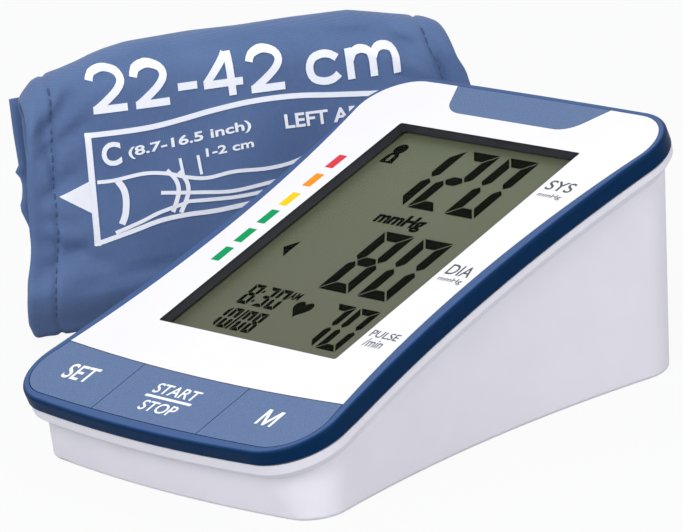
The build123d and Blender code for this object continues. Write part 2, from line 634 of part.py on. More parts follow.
def make_pump():
    """Motor, pump head, rubber saddle and clamp strap."""
    motor = rod_x(MOTOR_X, MOTOR_END, PUMP_Y, PUMP_Z, MOTOR_R)
    motor += rod_x(MOTOR_END, MOTOR_END + MOTOR_CAP_L, PUMP_Y, PUMP_Z, MOTOR_R / 3)
    motor = fillet(motor.edges().filter_by(GeomType.CIRCLE).group_by(Axis.X)[-2].sort_by(SortBy.RADIUS)[-1:], 1)
    head = rod_x(HEAD_END, MOTOR_X, PUMP_Y, PUMP_Z, HEAD_R)
    for x in (HEAD_END + HEAD_L / 3, HEAD_END + 2 * HEAD_L / 3):
        ring = rod_x(x - HEAD_GROOVE_W / 2, x + HEAD_GROOVE_W / 2, PUMP_Y, PUMP_Z, HEAD_R + 1)
        head -= ring - rod_x(x - HEAD_GROOVE_W, x + HEAD_GROOVE_W, PUMP_Y, PUMP_Z, HEAD_R - HEAD_GROOVE_DEPTH)
    head += rod_x(HEAD_END - NOZZLE_L, HEAD_END, PUMP_Y, PUMP_Z, NOZZLE_R)
    half_width = CLAMP_L / 2
    saddle = brick(CLAMP_X - SADDLE_L / 2, CLAMP_X + SADDLE_L / 2, PUMP_Y - SADDLE_W / 2, PUMP_Y + SADDLE_W / 2,
                   WALL, SADDLE_TOP)
    saddle -= rod_x(MOTOR_X, MOTOR_END, PUMP_Y, PUMP_Z, MOTOR_R)
    outer, reach = MOTOR_R + CLAMP_T, MOTOR_R + CLAMP_T + CLAMP_EAR
    left, right = CLAMP_X - half_width, CLAMP_X + half_width
    clamp = rod_x(left, right, PUMP_Y, PUMP_Z, outer)
    clamp += brick(left, right, PUMP_Y - outer, PUMP_Y + outer, SADDLE_TOP, PUMP_Z)
    clamp += brick(left, right, PUMP_Y - reach, PUMP_Y + reach, SADDLE_TOP, SADDLE_TOP + CLAMP_T)
    clamp -= rod_x(MOTOR_X, MOTOR_END, PUMP_Y, PUMP_Z, MOTOR_R)
    clamp -= brick(MOTOR_X, MOTOR_END, PUMP_Y - MOTOR_R, PUMP_Y + MOTOR_R, 0, PUMP_Z)
    clamp &= brick(-FAR, FAR, -FAR, FAR, SADDLE_TOP, FAR)
    screws, top = [], SADDLE_TOP + CLAMP_T
    for y in CLAMP_POSTS:
        clamp -= rod_z(CLAMP_X, y, SADDLE_TOP - 1, top + 1, CLAMP_SCREW_R + FIT)
        shank = rod_z(CLAMP_X, y, top - CLAMP_SCREW_L + 1, top, CLAMP_SCREW_R)
        screws.append(shank + rod_z(CLAMP_X, y, top, top + CLAMP_HEAD_T, 2 * CLAMP_SCREW_R))
    return {
        "pump_motor": motor,
        "pump_head": head,
        "pump_saddle": saddle,
        "pump_clamp": clamp,
        "clamp_screws": Compound(screws),
    }


def make_air_system():
    """Manifold, release valve, pressure sensor, the hoses between them and the socket in the left wall."""
    side = MANIFOLD_HALF
    body = brick(MANIFOLD_X - side, MANIFOLD_X + side, PUMP_Y - side, PUMP_Y + side, PUMP_Z - side, PUMP_Z + side)
    reach = side + NOZZLE_L
    body += rod_x(MANIFOLD_X - reach, MANIFOLD_X + reach, PUMP_Y, PUMP_Z, NOZZLE_R)
    body += rod_y(MANIFOLD_X, PUMP_Y - reach, PUMP_Y + reach, PUMP_Z, NOZZLE_R)
    stand = rod_z(MANIFOLD_X, PUMP_Y, WALL, PUMP_Z - side, NOZZLE_R)
    width, length, height = VALVE_SIZE
    valve_front, valve_z = VALVE_Y - length / 2, PUMP_Z - height / 2
    valve = brick(MANIFOLD_X - width / 2, MANIFOLD_X + width / 2, valve_front, valve_front + length,
                  valve_z, valve_z + height)
    valve += rod_y(MANIFOLD_X, valve_front + length, valve_front + length + NOZZLE_L, PUMP_Z, NOZZLE_R)
    valve += brick(MANIFOLD_X - 2, MANIFOLD_X + 2, valve_front + 2, valve_front + length - 2, WALL, valve_z)
    wide, long, tall = SENSOR_SIZE
    sensor_s = slope_s(SENSOR_Y, BOARD_BOTTOM)
    nozzle_end = BOARD_BOTTOM + tall + NOZZLE_L
    sensor = block(MANIFOLD_X - wide / 2, MANIFOLD_X + wide / 2, sensor_s - long / 2, sensor_s + long / 2,
                   BOARD_BOTTOM, BOARD_BOTTOM + tall)
    sensor += panel_rod(MANIFOLD_X, sensor_s, BOARD_BOTTOM + tall, nozzle_end, NOZZLE_R)
    top = Vector(MANIFOLD_X, slope_y(sensor_s, nozzle_end - NOZZLE_L), slope_z(sensor_s, nozzle_end - NOZZLE_L))
    drop = (top.Z - PUMP_Z) / cos(SLOPE)
    corner = top + Vector(0, sin(SLOPE), -cos(SLOPE)) * drop
    hoses = [
        tube([(HEAD_END, PUMP_Y, PUMP_Z), (MANIFOLD_X + side, PUMP_Y, PUMP_Z)], None, HOSE_R, NOZZLE_R),
        tube([(MANIFOLD_X - side, PUMP_Y, PUMP_Z), (SOCKET_INNER_X, PUMP_Y, PUMP_Z)], None, HOSE_R, NOZZLE_R),
        tube([(MANIFOLD_X, valve_front + length, PUMP_Z), (MANIFOLD_X, PUMP_Y - side, PUMP_Z)], None,
             HOSE_R, NOZZLE_R),
        tube([(MANIFOLD_X, PUMP_Y + side, PUMP_Z), tuple(corner), tuple(top)], HOSE_BEND_R, HOSE_R, NOZZLE_R),
    ]
    return {
        "air_manifold": body + stand,
        "release_valve": valve,
        "pressure_sensor": sensor,
        "air_hoses": Compound(hoses),
        "air_socket": make_air_socket(),
    }


def make_air_socket():
    """Socket that the cuff's air plug pushes into, with a flange outside and a hose stub inside."""
    flange_in = SOCKET_FACE_X + SOCKET_FLANGE_T
    socket = rod_x(SOCKET_FACE_X, flange_in, PUMP_Y, PUMP_Z, SOCKET_FLANGE_R)
    socket = fillet(socket.edges().group_by(Axis.X)[0], SOCKET_FLANGE_T / 2)
    socket += rod_x(flange_in, SOCKET_INNER_X, PUMP_Y, PUMP_Z, SOCKET_R)
    socket += rod_x(SOCKET_INNER_X, SOCKET_INNER_X + NOZZLE_L, PUMP_Y, PUMP_Z, NOZZLE_R)
    socket -= rod_x(SOCKET_FACE_X - 1, SOCKET_FACE_X + SOCKET_BORE_L, PUMP_Y, PUMP_Z, SOCKET_BORE_R)
    return socket - rod_x(SOCKET_FACE_X, FAR, PUMP_Y, PUMP_Z, NOZZLE_R / 2)


# ---- power --------------------------------------------------------------------------------------------------
def make_battery_door():
    """Door under the cells, with two hinge pins at its back edge and a latch nib at its front edge."""
    top = DOOR_LIFT + DOOR_T
    door = brick(-DOOR_HALF, DOOR_HALF, DOOR_FRONT_Y, HINGE_Y, DOOR_LIFT, top)
    door -= brick(-DOOR_HALF, DOOR_HALF, HINGE_Y - HINGE_R - DOOR_GAP, HINGE_Y + 1, HINGE_Z, top + 1)
    door += rod_x(-DOOR_HALF, DOOR_HALF, HINGE_Y, HINGE_Z, HINGE_R)
    pin_half = DOOR_HALF + HINGE_PIN_L
    door += rod_x(-pin_half, pin_half, HINGE_Y, HINGE_Z, HINGE_PIN_R)
    nib = brick(-LATCH_W / 2, LATCH_W / 2, DOOR_FRONT_Y - LATCH_NIB, DOOR_FRONT_Y + LATCH_NIB,
                DOOR_LIFT, top + LATCH_NIB)
    nib = chamfer(nib.edges().filter_by(Axis.X).group_by(Axis.Y)[0], LATCH_NIB / 2)
    door += nib
    for rib in range(GRIP_RIBS):
        y = DOOR_FRONT_Y + GRIP_START + GRIP_PITCH * rib
        door -= brick(-LATCH_W / 2, LATCH_W / 2, y, y + GRIP_W, DOOR_LIFT - 1, DOOR_LIFT + GRIP_DEPTH)
    return door


def make_power():
    """Cells, springs, contact plates, the door and the DC jack."""
    cells, springs, plates = [], [], []
    coil_r, wire = CELL_R * 0.6, SPRING_WIRE_R
    spring_rise = SPRING_L - 2 * wire
    for index in range(CELL_COUNT):
        x = (index - (CELL_COUNT - 1) / 2) * CELL_PITCH
        flip = index % 2
        front = BAY_FRONT_Y + PLATE_T + (CELL_NUB_L if flip else SPRING_L)
        back = front + CELL_L
        nub = (front - CELL_NUB_L, front) if flip else (back, back + CELL_NUB_L)
        cells.append(rod_y(x, front, back, CELL_Z, CELL_R) + rod_y(x, nub[0], nub[1], CELL_Z, CELL_NUB_R))
        spring_y = back if flip else BAY_FRONT_Y + PLATE_T
        turns = Helix(pitch=spring_rise / SPRING_TURNS, height=spring_rise, radius=coil_r)
        wire_plane = Plane(origin=turns @ 0, z_dir=turns % 0)
        coil = sweep(wire_plane * Circle(wire), path=turns)
        springs.append(Pos(x, spring_y + wire, CELL_Z) * Rot(-90, 0, 0) * coil)
        for y in (BAY_FRONT_Y, BAY_BACK_Y - PLATE_T):
            plates.append(brick(x - CELL_PITCH / 3, x + CELL_PITCH / 3, y, y + PLATE_T,
                                CELL_Z - CELL_R / 2, CELL_Z + CELL_R / 2))
    return {
        "battery_cells": Compound(cells),
        "battery_springs": Compound(springs),
        "battery_plates": Compound(plates),
        "battery_door": make_battery_door(),
        "dc_jack": make_dc_jack(),
    }


def make_dc_jack():
    """Jack behind the hole in the back wall."""
    half, outer = JACK_SIDE / 2, JACK_Y + JACK_PAD + WALL
    jack = brick(JACK_X - half, JACK_X + half, JACK_Y - JACK_L, JACK_Y, JACK_Z - half, JACK_Z + half)
    jack += rod_y(JACK_X, JACK_Y, outer, JACK_Z, JACK_BORE_R + JACK_NOSE)
    jack -= rod_y(JACK_X, outer - JACK_BORE_L, outer + 1, JACK_Z, JACK_BORE_R)
    return jack + rod_y(JACK_X, outer - JACK_BORE_L, outer - 1, JACK_Z, JACK_PIN_R)


def make_leads():
    """Wires from the battery bay and the motor up to the board."""
    battery, motor = [], []
    for x in (-LEAD_X, LEAD_X):
        bay = (x, BAY_FRONT_Y - BAY_WALL - WIRE_R, BAY_TOP / 2)
        board_s = slope_s(bay[1], BOARD_BOTTOM)
        battery.append(tube([bay, (x, bay[1], slope_z(board_s, BOARD_BOTTOM + WIRE_R))], None, WIRE_R))
    for z in (-MOTOR_R / 2, MOTOR_R / 2):
        start = (MOTOR_END, PUMP_Y, PUMP_Z + z)
        turn = (MOTOR_END + LEAD_REACH - z / 4, PUMP_Y, PUMP_Z + z)
        top = (turn[0], PUMP_Y, slope_z(slope_s(PUMP_Y, BOARD_BOTTOM), BOARD_BOTTOM + WIRE_R))
        motor.append(tube([start, turn, top], LEAD_BEND_R, WIRE_R))
    return {"battery_leads": Compound(battery), "motor_leads": Compound(motor)}


def make_fasteners():
    """Housing screws and rubber feet."""
    screws = []
    for x, y, split in BOSSES:
        seat = split - SCREW_SEAT
        head = rod_z(x, y, seat - SCREW_HEAD_T, seat, SCREW_HEAD_R)
        for half_x, half_y in ((SLOT_W / 2, SLOT_L / 2), (SLOT_L / 2, SLOT_W / 2)):
            head -= brick(x - half_x, x + half_x, y - half_y, y + half_y, 0, seat - SCREW_HEAD_T + SLOT_DEPTH)
        screws.append(head + rod_z(x, y, seat, split + SCREW_BITE - 1, SCREW_R))
    feet = [rod_z(x, y, 0, PAD_T, PAD_R) for x, y in PADS]
    return {"housing_screws": Compound(screws), "rubber_feet": Compound(feet)}


# ---- cuff ---------------------------------------------------------------------------------------------------
STRIP_T = 2 * FABRIC_T + BLADDER_T
PATCH_T = (CUFF_PITCH - STRIP_T) / 2        # hook and loop fill the space between two layers
CUFF_LOW = (2 * CUFF_TURNS - 1) * CUFF_PITCH / 4 + STRIP_T / 2      # height of the lower bend centres
CUFF_HIGH = CUFF_LOW + CUFF_RUN
CUFF_PLACE = Pos(CUFF_X, CUFF_Y, 0) * Rot(0, 0, CUFF_HEADING)


def roll_path(offset, first, last):
    """Edges of the flattened spiral at an offset from its middle line; run 1 is innermost, even runs are behind."""
    edges = []
    for run in range(first, last + 1):
        side = 1 if run % 2 == 0 else -1
        q = side * (run * CUFF_PITCH / 2 + offset)
        start, end = (CUFF_HIGH, CUFF_LOW) if run % 2 else (CUFF_LOW, CUFF_HIGH)
        edges.append(Line((q, start), (q, end)))
        if run < last:
            centre, radius = -side * CUFF_PITCH / 4, (2 * run + 1) * CUFF_PITCH / 4 + offset
            away = -1 if run % 2 else 1
            edges.append(ThreePointArc((q, end), (centre, end + away * radius), (centre - side * radius, end)))
    return edges


def roll_band(inner, outer, near, far, first=1, last=CUFF_TURNS):
    """A layer of the roll between two offsets, between two places along the roll's axis."""
    low, high = roll_path(inner, first, last), roll_path(outer, first, last)
    ends = [Line(low[0] @ 0, high[0] @ 0), Line(low[-1] @ 1, high[-1] @ 1)]
    band = extrude(make_face(low + high + ends), far - near)
    return CUFF_PLACE * (Plane.YZ.offset(near - CUFF_W / 2) * band)


def roll_block(near, far, q0, q1, z0, z1):
    """A block in the roll's own directions."""
    return CUFF_PLACE * brick(near - CUFF_W / 2, far - CUFF_W / 2, q0, q1, z0, z1)


def make_cuff():
    """Rolled cuff: two fabric layers, the bladder between them, hems, hook and loop patches and the air port."""
    half = BLADDER_T / 2
    hems = [roll_band(-half, half, 0, HEM_W), roll_band(-half, half, CUFF_W - HEM_W, CUFF_W)]
    back_q = CUFF_TURNS * CUFF_PITCH / 2 + STRIP_T / 2
    loop_q = back_q - CUFF_PITCH
    port_x, port_z = CUFF_W / 2 - PATCH_INSET, CUFF_LOW + PORT_R
    port_q, elbow_end = back_q + PORT_T + PORT_RISE, port_x + PORT_ELBOW_L
    port = rod_y(port_x, back_q, back_q + PORT_T, port_z, PORT_R)
    port += rod_y(port_x, back_q, port_q, port_z, PORT_ELBOW_R)
    port += Pos(port_x, port_q, port_z) * Sphere(PORT_ELBOW_R)
    port += rod_x(port_x, elbow_end, port_q, port_z, PORT_ELBOW_R)
    port += rod_x(elbow_end, elbow_end + PORT_NOZZLE_L, port_q, port_z, PORT_NOZZLE_R)
    port -= rod_x(port_x, FAR, port_q, port_z, PORT_BORE_R) + rod_y(port_x, 0, port_q, port_z, PORT_BORE_R)
    return {
        "cuff_outer_fabric": roll_band(half, half + FABRIC_T, 0, CUFF_W),
        "cuff_inner_fabric": roll_band(-half - FABRIC_T, -half, 0, CUFF_W),
        "cuff_bladder": roll_band(-half, half, BLADDER_INSET, CUFF_W - BLADDER_INSET, 2),
        "cuff_hems": Compound(hems),
        "cuff_loop_patch": roll_block(PATCH_INSET, CUFF_W - PATCH_INSET, loop_q, loop_q + PATCH_T,
                                      CUFF_LOW + HEM_W, CUFF_HIGH - HEM_W / 2),
        "cuff_hook_patch": roll_block(PATCH_INSET, CUFF_W - PATCH_INSET, loop_q + PATCH_T, loop_q + 2 * PATCH_T,
                                      CUFF_HIGH - CUFF_RUN / 2, CUFF_HIGH - HEM_W / 2),
        "cuff_air_port": CUFF_PLACE * port,
    }


# ---- write --------------------------------------------------------------------------------------------------
def main():
    """Write every sub-part to its own file."""
    nodes = {
        "base_shell": make_base_shell(),
        "upper_frame": make_upper_frame(),
        "face_plate": make_face_plate(),
        "top_tab": make_top_tab(),
        **make_keys(),
        **make_display(),
        **make_board(),
        **make_pump(),
        **make_air_system(),
        **make_power(),
        **make_leads(),
        **make_fasteners(),
        **make_cuff(),
    }
    os.makedirs("parts", exist_ok=True)
    for name, shape in nodes.items():
        export_step(shape, f"parts/{name}.step")


main()
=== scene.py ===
"""Looks of a desktop upper-arm blood pressure monitor and its rolled cuff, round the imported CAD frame."""

from __future__ import annotations

import json
import logging
import math
import sys
from collections.abc import Callable, Sequence
from dataclasses import dataclass
from enum import Enum
from typing import ClassVar

import bmesh
import bpy
import numpy as np
from mathutils import Matrix, Vector

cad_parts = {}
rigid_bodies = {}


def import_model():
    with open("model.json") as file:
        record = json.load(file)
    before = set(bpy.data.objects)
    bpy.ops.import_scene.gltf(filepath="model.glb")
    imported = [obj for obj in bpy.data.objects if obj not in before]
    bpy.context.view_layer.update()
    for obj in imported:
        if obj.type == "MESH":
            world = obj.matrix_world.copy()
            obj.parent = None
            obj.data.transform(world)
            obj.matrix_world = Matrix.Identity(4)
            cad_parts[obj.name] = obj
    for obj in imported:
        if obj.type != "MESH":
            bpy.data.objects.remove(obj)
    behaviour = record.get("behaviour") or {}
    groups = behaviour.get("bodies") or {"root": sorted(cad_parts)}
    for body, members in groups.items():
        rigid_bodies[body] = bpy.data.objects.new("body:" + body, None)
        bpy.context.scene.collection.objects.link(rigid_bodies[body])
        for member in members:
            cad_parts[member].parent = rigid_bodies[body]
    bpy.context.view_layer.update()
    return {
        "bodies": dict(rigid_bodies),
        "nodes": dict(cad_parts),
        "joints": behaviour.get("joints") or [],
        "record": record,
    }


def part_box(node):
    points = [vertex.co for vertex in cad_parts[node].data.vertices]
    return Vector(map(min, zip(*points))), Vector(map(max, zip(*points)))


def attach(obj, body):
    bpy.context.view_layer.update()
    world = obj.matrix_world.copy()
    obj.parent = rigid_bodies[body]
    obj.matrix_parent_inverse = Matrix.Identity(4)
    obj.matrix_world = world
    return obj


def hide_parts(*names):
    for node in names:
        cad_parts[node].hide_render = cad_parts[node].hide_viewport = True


log = logging.getLogger("monitor")

MM = 0.001
BODY = "monitor"
IOR_PLASTIC = 1.53
BANDS_PER_SCALE = 3.1831    # bands that a wave texture draws in each unit of its scale
SAME_POINT = 1e-5           # points of a flat mesh that lie closer than this, in millimetres, are one
Flat = tuple[float, float]
Box = tuple[float, float, float, float]     # left, bottom, right and top in millimetres
Place = Callable[[np.ndarray, np.ndarray, np.ndarray], np.ndarray]


# ---- small tools -------------------------------------------------------------------------------------
def linear(colour: str) -> tuple[float, float, float, float]:
    """Turns an sRGB hex colour into linear RGBA.

    Args:
        colour: Colour such as "#5a6f9b".

    Returns:
        Four linear channels, the last one 1.
    """
    parts = [int(colour[i : i + 2], 16) / 255 for i in (1, 3, 5)]
    red, green, blue = (c / 12.92 if c <= 0.04045 else ((c + 0.055) / 1.055) ** 2.4 for c in parts)
    return red, green, blue, 1.0


def per_mm(size: float) -> float:
    """Gives the scale of a pattern whose cells are this many millimetres across."""
    return 1 / (size * MM)


def add(
    tree: bpy.types.NodeTree,
    kind: str,
    feeds: dict[str | int, object] | None = None,
    stops: Sequence[tuple[float, str]] = (),
    **settings: object,
) -> bpy.types.Node:
    """Adds one shader node with its settings and its links.

    Args:
        tree: Node tree that gets the node.
        kind: Type of the node, without "ShaderNode" in front.
        feeds: Value, output or node for each input, by name or number; a node gives its first output.
        stops: Position and hex colour of each stop of a colour ramp.
        **settings: Properties of the node.

    Returns:
        The new node.
    """
    node = tree.nodes.new("ShaderNode" + kind)
    for name, value in settings.items():
        setattr(node, name, value)
    for key, value in (feeds or {}).items():
        source = value.outputs[0] if isinstance(value, bpy.types.Node) else value
        if isinstance(source, bpy.types.NodeSocket):
            tree.links.new(source, node.inputs[key])
        else:
            node.inputs[key].default_value = source
    if stops:
        elements = node.color_ramp.elements
        for _ in stops[2:]:
            elements.new(0.5)
        for element, (position, colour) in zip(elements, stops):
            element.position = position
            element.color = linear(colour)
    return node


def new_material(name: str) -> tuple[bpy.types.Material, bpy.types.NodeTree, bpy.types.NodeSocket]:
    """Starts a material.

    Args:
        name: Name of the material.

    Returns:
        The material, its node tree and the coordinates in the object.
    """
    material = bpy.data.materials.new(name)
    material.use_nodes = True
    material.node_tree.nodes.clear()
    return material, material.node_tree, add(material.node_tree, "TexCoord").outputs["Object"]


def coat(obj: bpy.types.Object, material: bpy.types.Material) -> None:
    """Gives every face of an object one material."""
    obj.data.materials.clear()
    obj.data.materials.append(material)


def mesh_object(
    name: str, points: Sequence[Sequence[float]], faces: Sequence[Sequence[int]], smooth: bool = False
) -> bpy.types.Object:
    """Makes a mesh object in the scene.

    Args:
        name: Name of the object.
        points: Vertices in metres.
        faces: Vertex numbers of each face.
        smooth: True for smooth shading.

    Returns:
        The linked object.
    """
    mesh = bpy.data.meshes.new(name)
    mesh.from_pydata([tuple(p) for p in points], [], [tuple(f) for f in faces])
    mesh.update()
    if smooth:
        mesh.shade_smooth()
    obj = bpy.data.objects.new(name, mesh)
    bpy.context.scene.collection.objects.link(obj)
    return obj


def plate(name: str, over: np.ndarray, under: np.ndarray, smooth: bool = False) -> bpy.types.Object:
    """Makes a closed plate between two grids of points.

    Args:
        name: Name of the object.
        over: Grid of points of the first side, in metres.
        under: Grid of the same size for the other side.
        smooth: True for smooth shading.

    Returns:
        The linked object.
    """
    rows, columns = over.shape[:2]
    number = np.arange(rows * columns).reshape(rows, columns)
    quads = np.stack([number[:-1, :-1], number[1:, :-1], number[1:, 1:], number[:-1, 1:]], -1).reshape(-1, 4)
    rim = [*number[:, 0], *number[-1, 1:], *number[-2::-1, -1], *number[0, -2:0:-1]]
    faces = [*quads.tolist(), *(quads[:, [0, 3, 2, 1]] + number.size).tolist()]
    faces += [(b, a, a + number.size, b + number.size) for a, b in zip(rim, rim[1:] + rim[:1])]
    points = np.concatenate([over.reshape(-1, 3), under.reshape(-1, 3)])
    return mesh_object(name, points.tolist(), faces, smooth)


def face_up(flat: bmesh.types.BMesh) -> bmesh.types.BMesh:
    """Turns every face of a flat mesh to +Z.

    Args:
        flat: The flat mesh.

    Returns:
        The same mesh.
    """
    flat.normal_update()
    bmesh.ops.reverse_faces(flat, faces=[f for f in flat.faces if f.normal.z < 0])
    return flat


def outlines(*loops: Sequence[Flat]) -> bmesh.types.BMesh:
    """Makes a flat mesh with one face for each closed loop.

    Args:
        *loops: Corners of each face, in millimetres.

    Returns:
        The flat mesh, its faces turned up.
    """
    flat = bmesh.new()
    for loop in loops:
        flat.faces.new([flat.verts.new((x, y, 0)) for x, y in loop])
    return face_up(flat)


def rectangle(box: Box) -> list[Flat]:
    """Gives the four corners of a box."""
    left, low, right, high = box
    return [(left, low), (right, low), (right, high), (left, high)]


def lettering(text: str, box: Box, weight: float = 0.0, lean: float = 0.0) -> bmesh.types.BMesh:
    """Sets a line of plain sans-serif lettering into a box.

    Args:
        text: The characters.
        box: Where the letters end, before they lean.
        weight: How far each outline is fattened, as a share of the letter size.
        lean: Rise of the baseline from left to right, in millimetres.

    Returns:
        The flat mesh of the letters.
    """
    curve = bpy.data.curves.new("lettering", "FONT")
    curve.body = text
    curve.offset = weight
    curve.resolution_u = 5
    holder = bpy.data.objects.new("lettering", curve)
    bpy.context.scene.collection.objects.link(holder)
    bpy.context.view_layer.update()
    mesh = bpy.data.meshes.new_from_object(holder)
    bpy.data.objects.remove(holder)
    flat = bmesh.new()
    flat.from_mesh(mesh)
    bpy.data.meshes.remove(mesh)
    bmesh.ops.remove_doubles(flat, verts=flat.verts, dist=SAME_POINT)
    xs, ys = [v.co.x for v in flat.verts], [v.co.y for v in flat.verts]
    left, bottom, right, top = box
    for v in flat.verts:
        along = (v.co.x - min(xs)) / (max(xs) - min(xs))
        up = (v.co.y - min(ys)) / (max(ys) - min(ys))
        v.co = (left + along * (right - left), bottom + up * (top - bottom) + lean * along, 0)
    return face_up(flat)


def smooth_line(points: Sequence[Flat], step: float = 1.2) -> list[Flat]:
    """Runs a Catmull-Rom line through points.

    Args:
        points: Points in millimetres.
        step: Distance between samples.

    Returns:
        The samples.
    """
    p = np.array([points[0], *points, points[-1]], float)
    line: list[Flat] = []
    for a, b, c, d in zip(p, p[1:], p[2:], p[3:]):
        count = max(2, int(np.linalg.norm(c - b) / step) + 1)
        for t in np.linspace(0, 1, count, endpoint=False):
            bend = (2 * a - 5 * b + 4 * c - d) * t**2 + (3 * b - a - 3 * c + d) * t**3
            line.append(tuple(0.5 * (2 * b + (c - a) * t + bend)))
    return [*line, tuple(p[-1])]


def ribbon(points: Sequence[Flat], width: float, curved: bool = True) -> bmesh.types.BMesh:
    """Makes a printed line of one width.

    Args:
        points: Middle line in millimetres.
        width: Width of the line.
        curved: True where the line runs smoothly through its points.

    Returns:
        The flat mesh.
    """
    line = np.array(smooth_line(points) if curved else points, float)
    along = np.gradient(line, axis=0)
    along /= np.linalg.norm(along, axis=1)[:, None]
    side = np.stack([-along[:, 1], along[:, 0]], 1) * width / 2
    flat = bmesh.new()
    pairs = [(flat.verts.new((*a, 0)), flat.verts.new((*b, 0))) for a, b in zip(line + side, line - side)]
    for (a, b), (c, d) in zip(pairs, pairs[1:]):
        flat.faces.new((a, b, d, c))
    return face_up(flat)


# Round lettering of one stroke: each letter's advance, then whether each stroke is curved, and its points.
STROKES: dict[str, tuple[float, tuple[tuple[bool, tuple[Flat, ...]], ...]]] = {
    "2": (0.70, (
        (True, ((0.06, 0.72), (0.12, 0.88), (0.31, 0.97), (0.50, 0.88), (0.55, 0.70), (0.47, 0.50),
                (0.28, 0.27), (0.08, 0.07))),
        (False, ((0.04, 0.07), (0.60, 0.07))),
    )),
    "4": (0.76, (
        (False, ((0.46, 0.97), (0.07, 0.34))),
        (False, ((0.03, 0.31), (0.68, 0.31))),
        (False, ((0.49, 1.0), (0.49, 0.0))),
    )),
    "-": (0.46, ((False, ((0.06, 0.36), (0.38, 0.36))),)),
    " ": (0.26, ()),
    "c": (0.68, (
        (True, ((0.55, 0.55), (0.46, 0.64), (0.32, 0.68), (0.15, 0.60), (0.08, 0.38), (0.13, 0.14),
                (0.30, 0.04), (0.46, 0.07), (0.56, 0.17))),
    )),
    "m": (1.0, (
        (False, ((0.08, 0.72), (0.08, 0.0))),
        (True, ((0.09, 0.44), (0.15, 0.61), (0.28, 0.67), (0.42, 0.60), (0.46, 0.44), (0.465, 0.22),
                (0.465, 0.0))),
        (True, ((0.475, 0.44), (0.54, 0.61), (0.67, 0.67), (0.81, 0.60), (0.85, 0.44), (0.855, 0.22),
                (0.855, 0.0))),
    )),
}


def stroked(text: str, box: Box, width: float, lean: float) -> bmesh.types.BMesh:
    """Sets a line of round lettering of one stroke width into a box.

    Args:
        text: Characters of STROKES.
        box: Where the letters end, before they lean.
        width: Stroke width.
        lean: Rise of the baseline from left to right.

    Returns:
        The flat mesh of the letters.
    """
    left, bottom, right, top = box
    total = sum(STROKES[char][0] for char in text)
    ribbons, start = [], 0.0
    for char in text:
        advance, strokes = STROKES[char]
        for curved, points in strokes:
            spots = [((start + x) / total, y) for x, y in points]
            line = [(left + a * (right - left), bottom + y * (top - bottom) + lean * a) for a, y in spots]
            ribbons.append(ribbon(line, width, curved))
        start += advance
    return joined(*ribbons)


def joined(*flats: bmesh.types.BMesh, lift: float = 0.012) -> bmesh.types.BMesh:
    """Joins flat meshes into the first one and frees the rest.

    Args:
        *flats: The flat meshes.
        lift: How much higher each one lies than the one before, so that crossings stay clean.

    Returns:
        The first mesh, with all the faces.
    """
    first = flats[0]
    for level, other in enumerate(flats[1:], 1):
        copy = {v: first.verts.new(v.co + Vector((0, 0, lift * level))) for v in other.verts}
        for f in other.faces:
            first.faces.new([copy[v] for v in f.verts])
        other.free()
    return face_up(first)


def inlay(
    name: str, flat: bmesh.types.BMesh, place: Place, low: float, high: float, cell: float = 0.0
) -> bpy.types.Object:
    """Turns a flat mesh into a thin closed plate laid on a surface.

    Args:
        name: Name of the piece.
        flat: Flat mesh in millimetres; it is freed.
        place: Maps the two flat coordinates and a height to points in metres, one in each row.
        low: Height of the underside.
        high: Height of the top.
        cell: Largest face size, so that the plate follows a curved surface; 0 leaves the faces whole.

    Returns:
        The plate.
    """
    for axis in (0, 1) if cell else ():
        values = [v.co[axis] for v in flat.verts]
        normal = Vector((1 - axis, axis, 0))
        for k in range(math.floor(min(values) / cell) + 1, math.ceil(max(values) / cell)):
            cut = normal * (k * cell)
            parts = [*flat.verts, *flat.edges, *flat.faces]
            bmesh.ops.bisect_plane(flat, geom=parts, dist=SAME_POINT, plane_co=cut, plane_no=normal)
    bmesh.ops.triangulate(flat, faces=flat.faces)
    flat.verts.index_update()
    count = len(flat.verts)
    across = np.array([v.co[:] for v in flat.verts])
    x, y, lift = across.T
    points = np.concatenate([place(x, y, lift + height) for height in (low, high)]).tolist()
    faces = [[v.index + count for v in f.verts] for f in flat.faces]
    faces += [[v.index for v in reversed(f.verts)] for f in flat.faces]
    for edge in flat.edges:
        if len(edge.link_faces) == 1:
            loop = edge.link_loops[0]
            a, b = loop.vert.index, loop.link_loop_next.vert.index
            faces.append([a, b, b + count, a + count])
    flat.free()
    return mesh_object(name, points, faces)


# ---- finishes ----------------------------------------------------------------------------------------
class Surface(Enum):
    """How a plastic surface left its mould: roughness, grain in mm and grain depth in mm."""

    SATIN = (0.42, 0.10, 0.020)
    MATT = (0.55, 0.16, 0.035)
    GLOSS = (0.22, 0.30, 0.004)


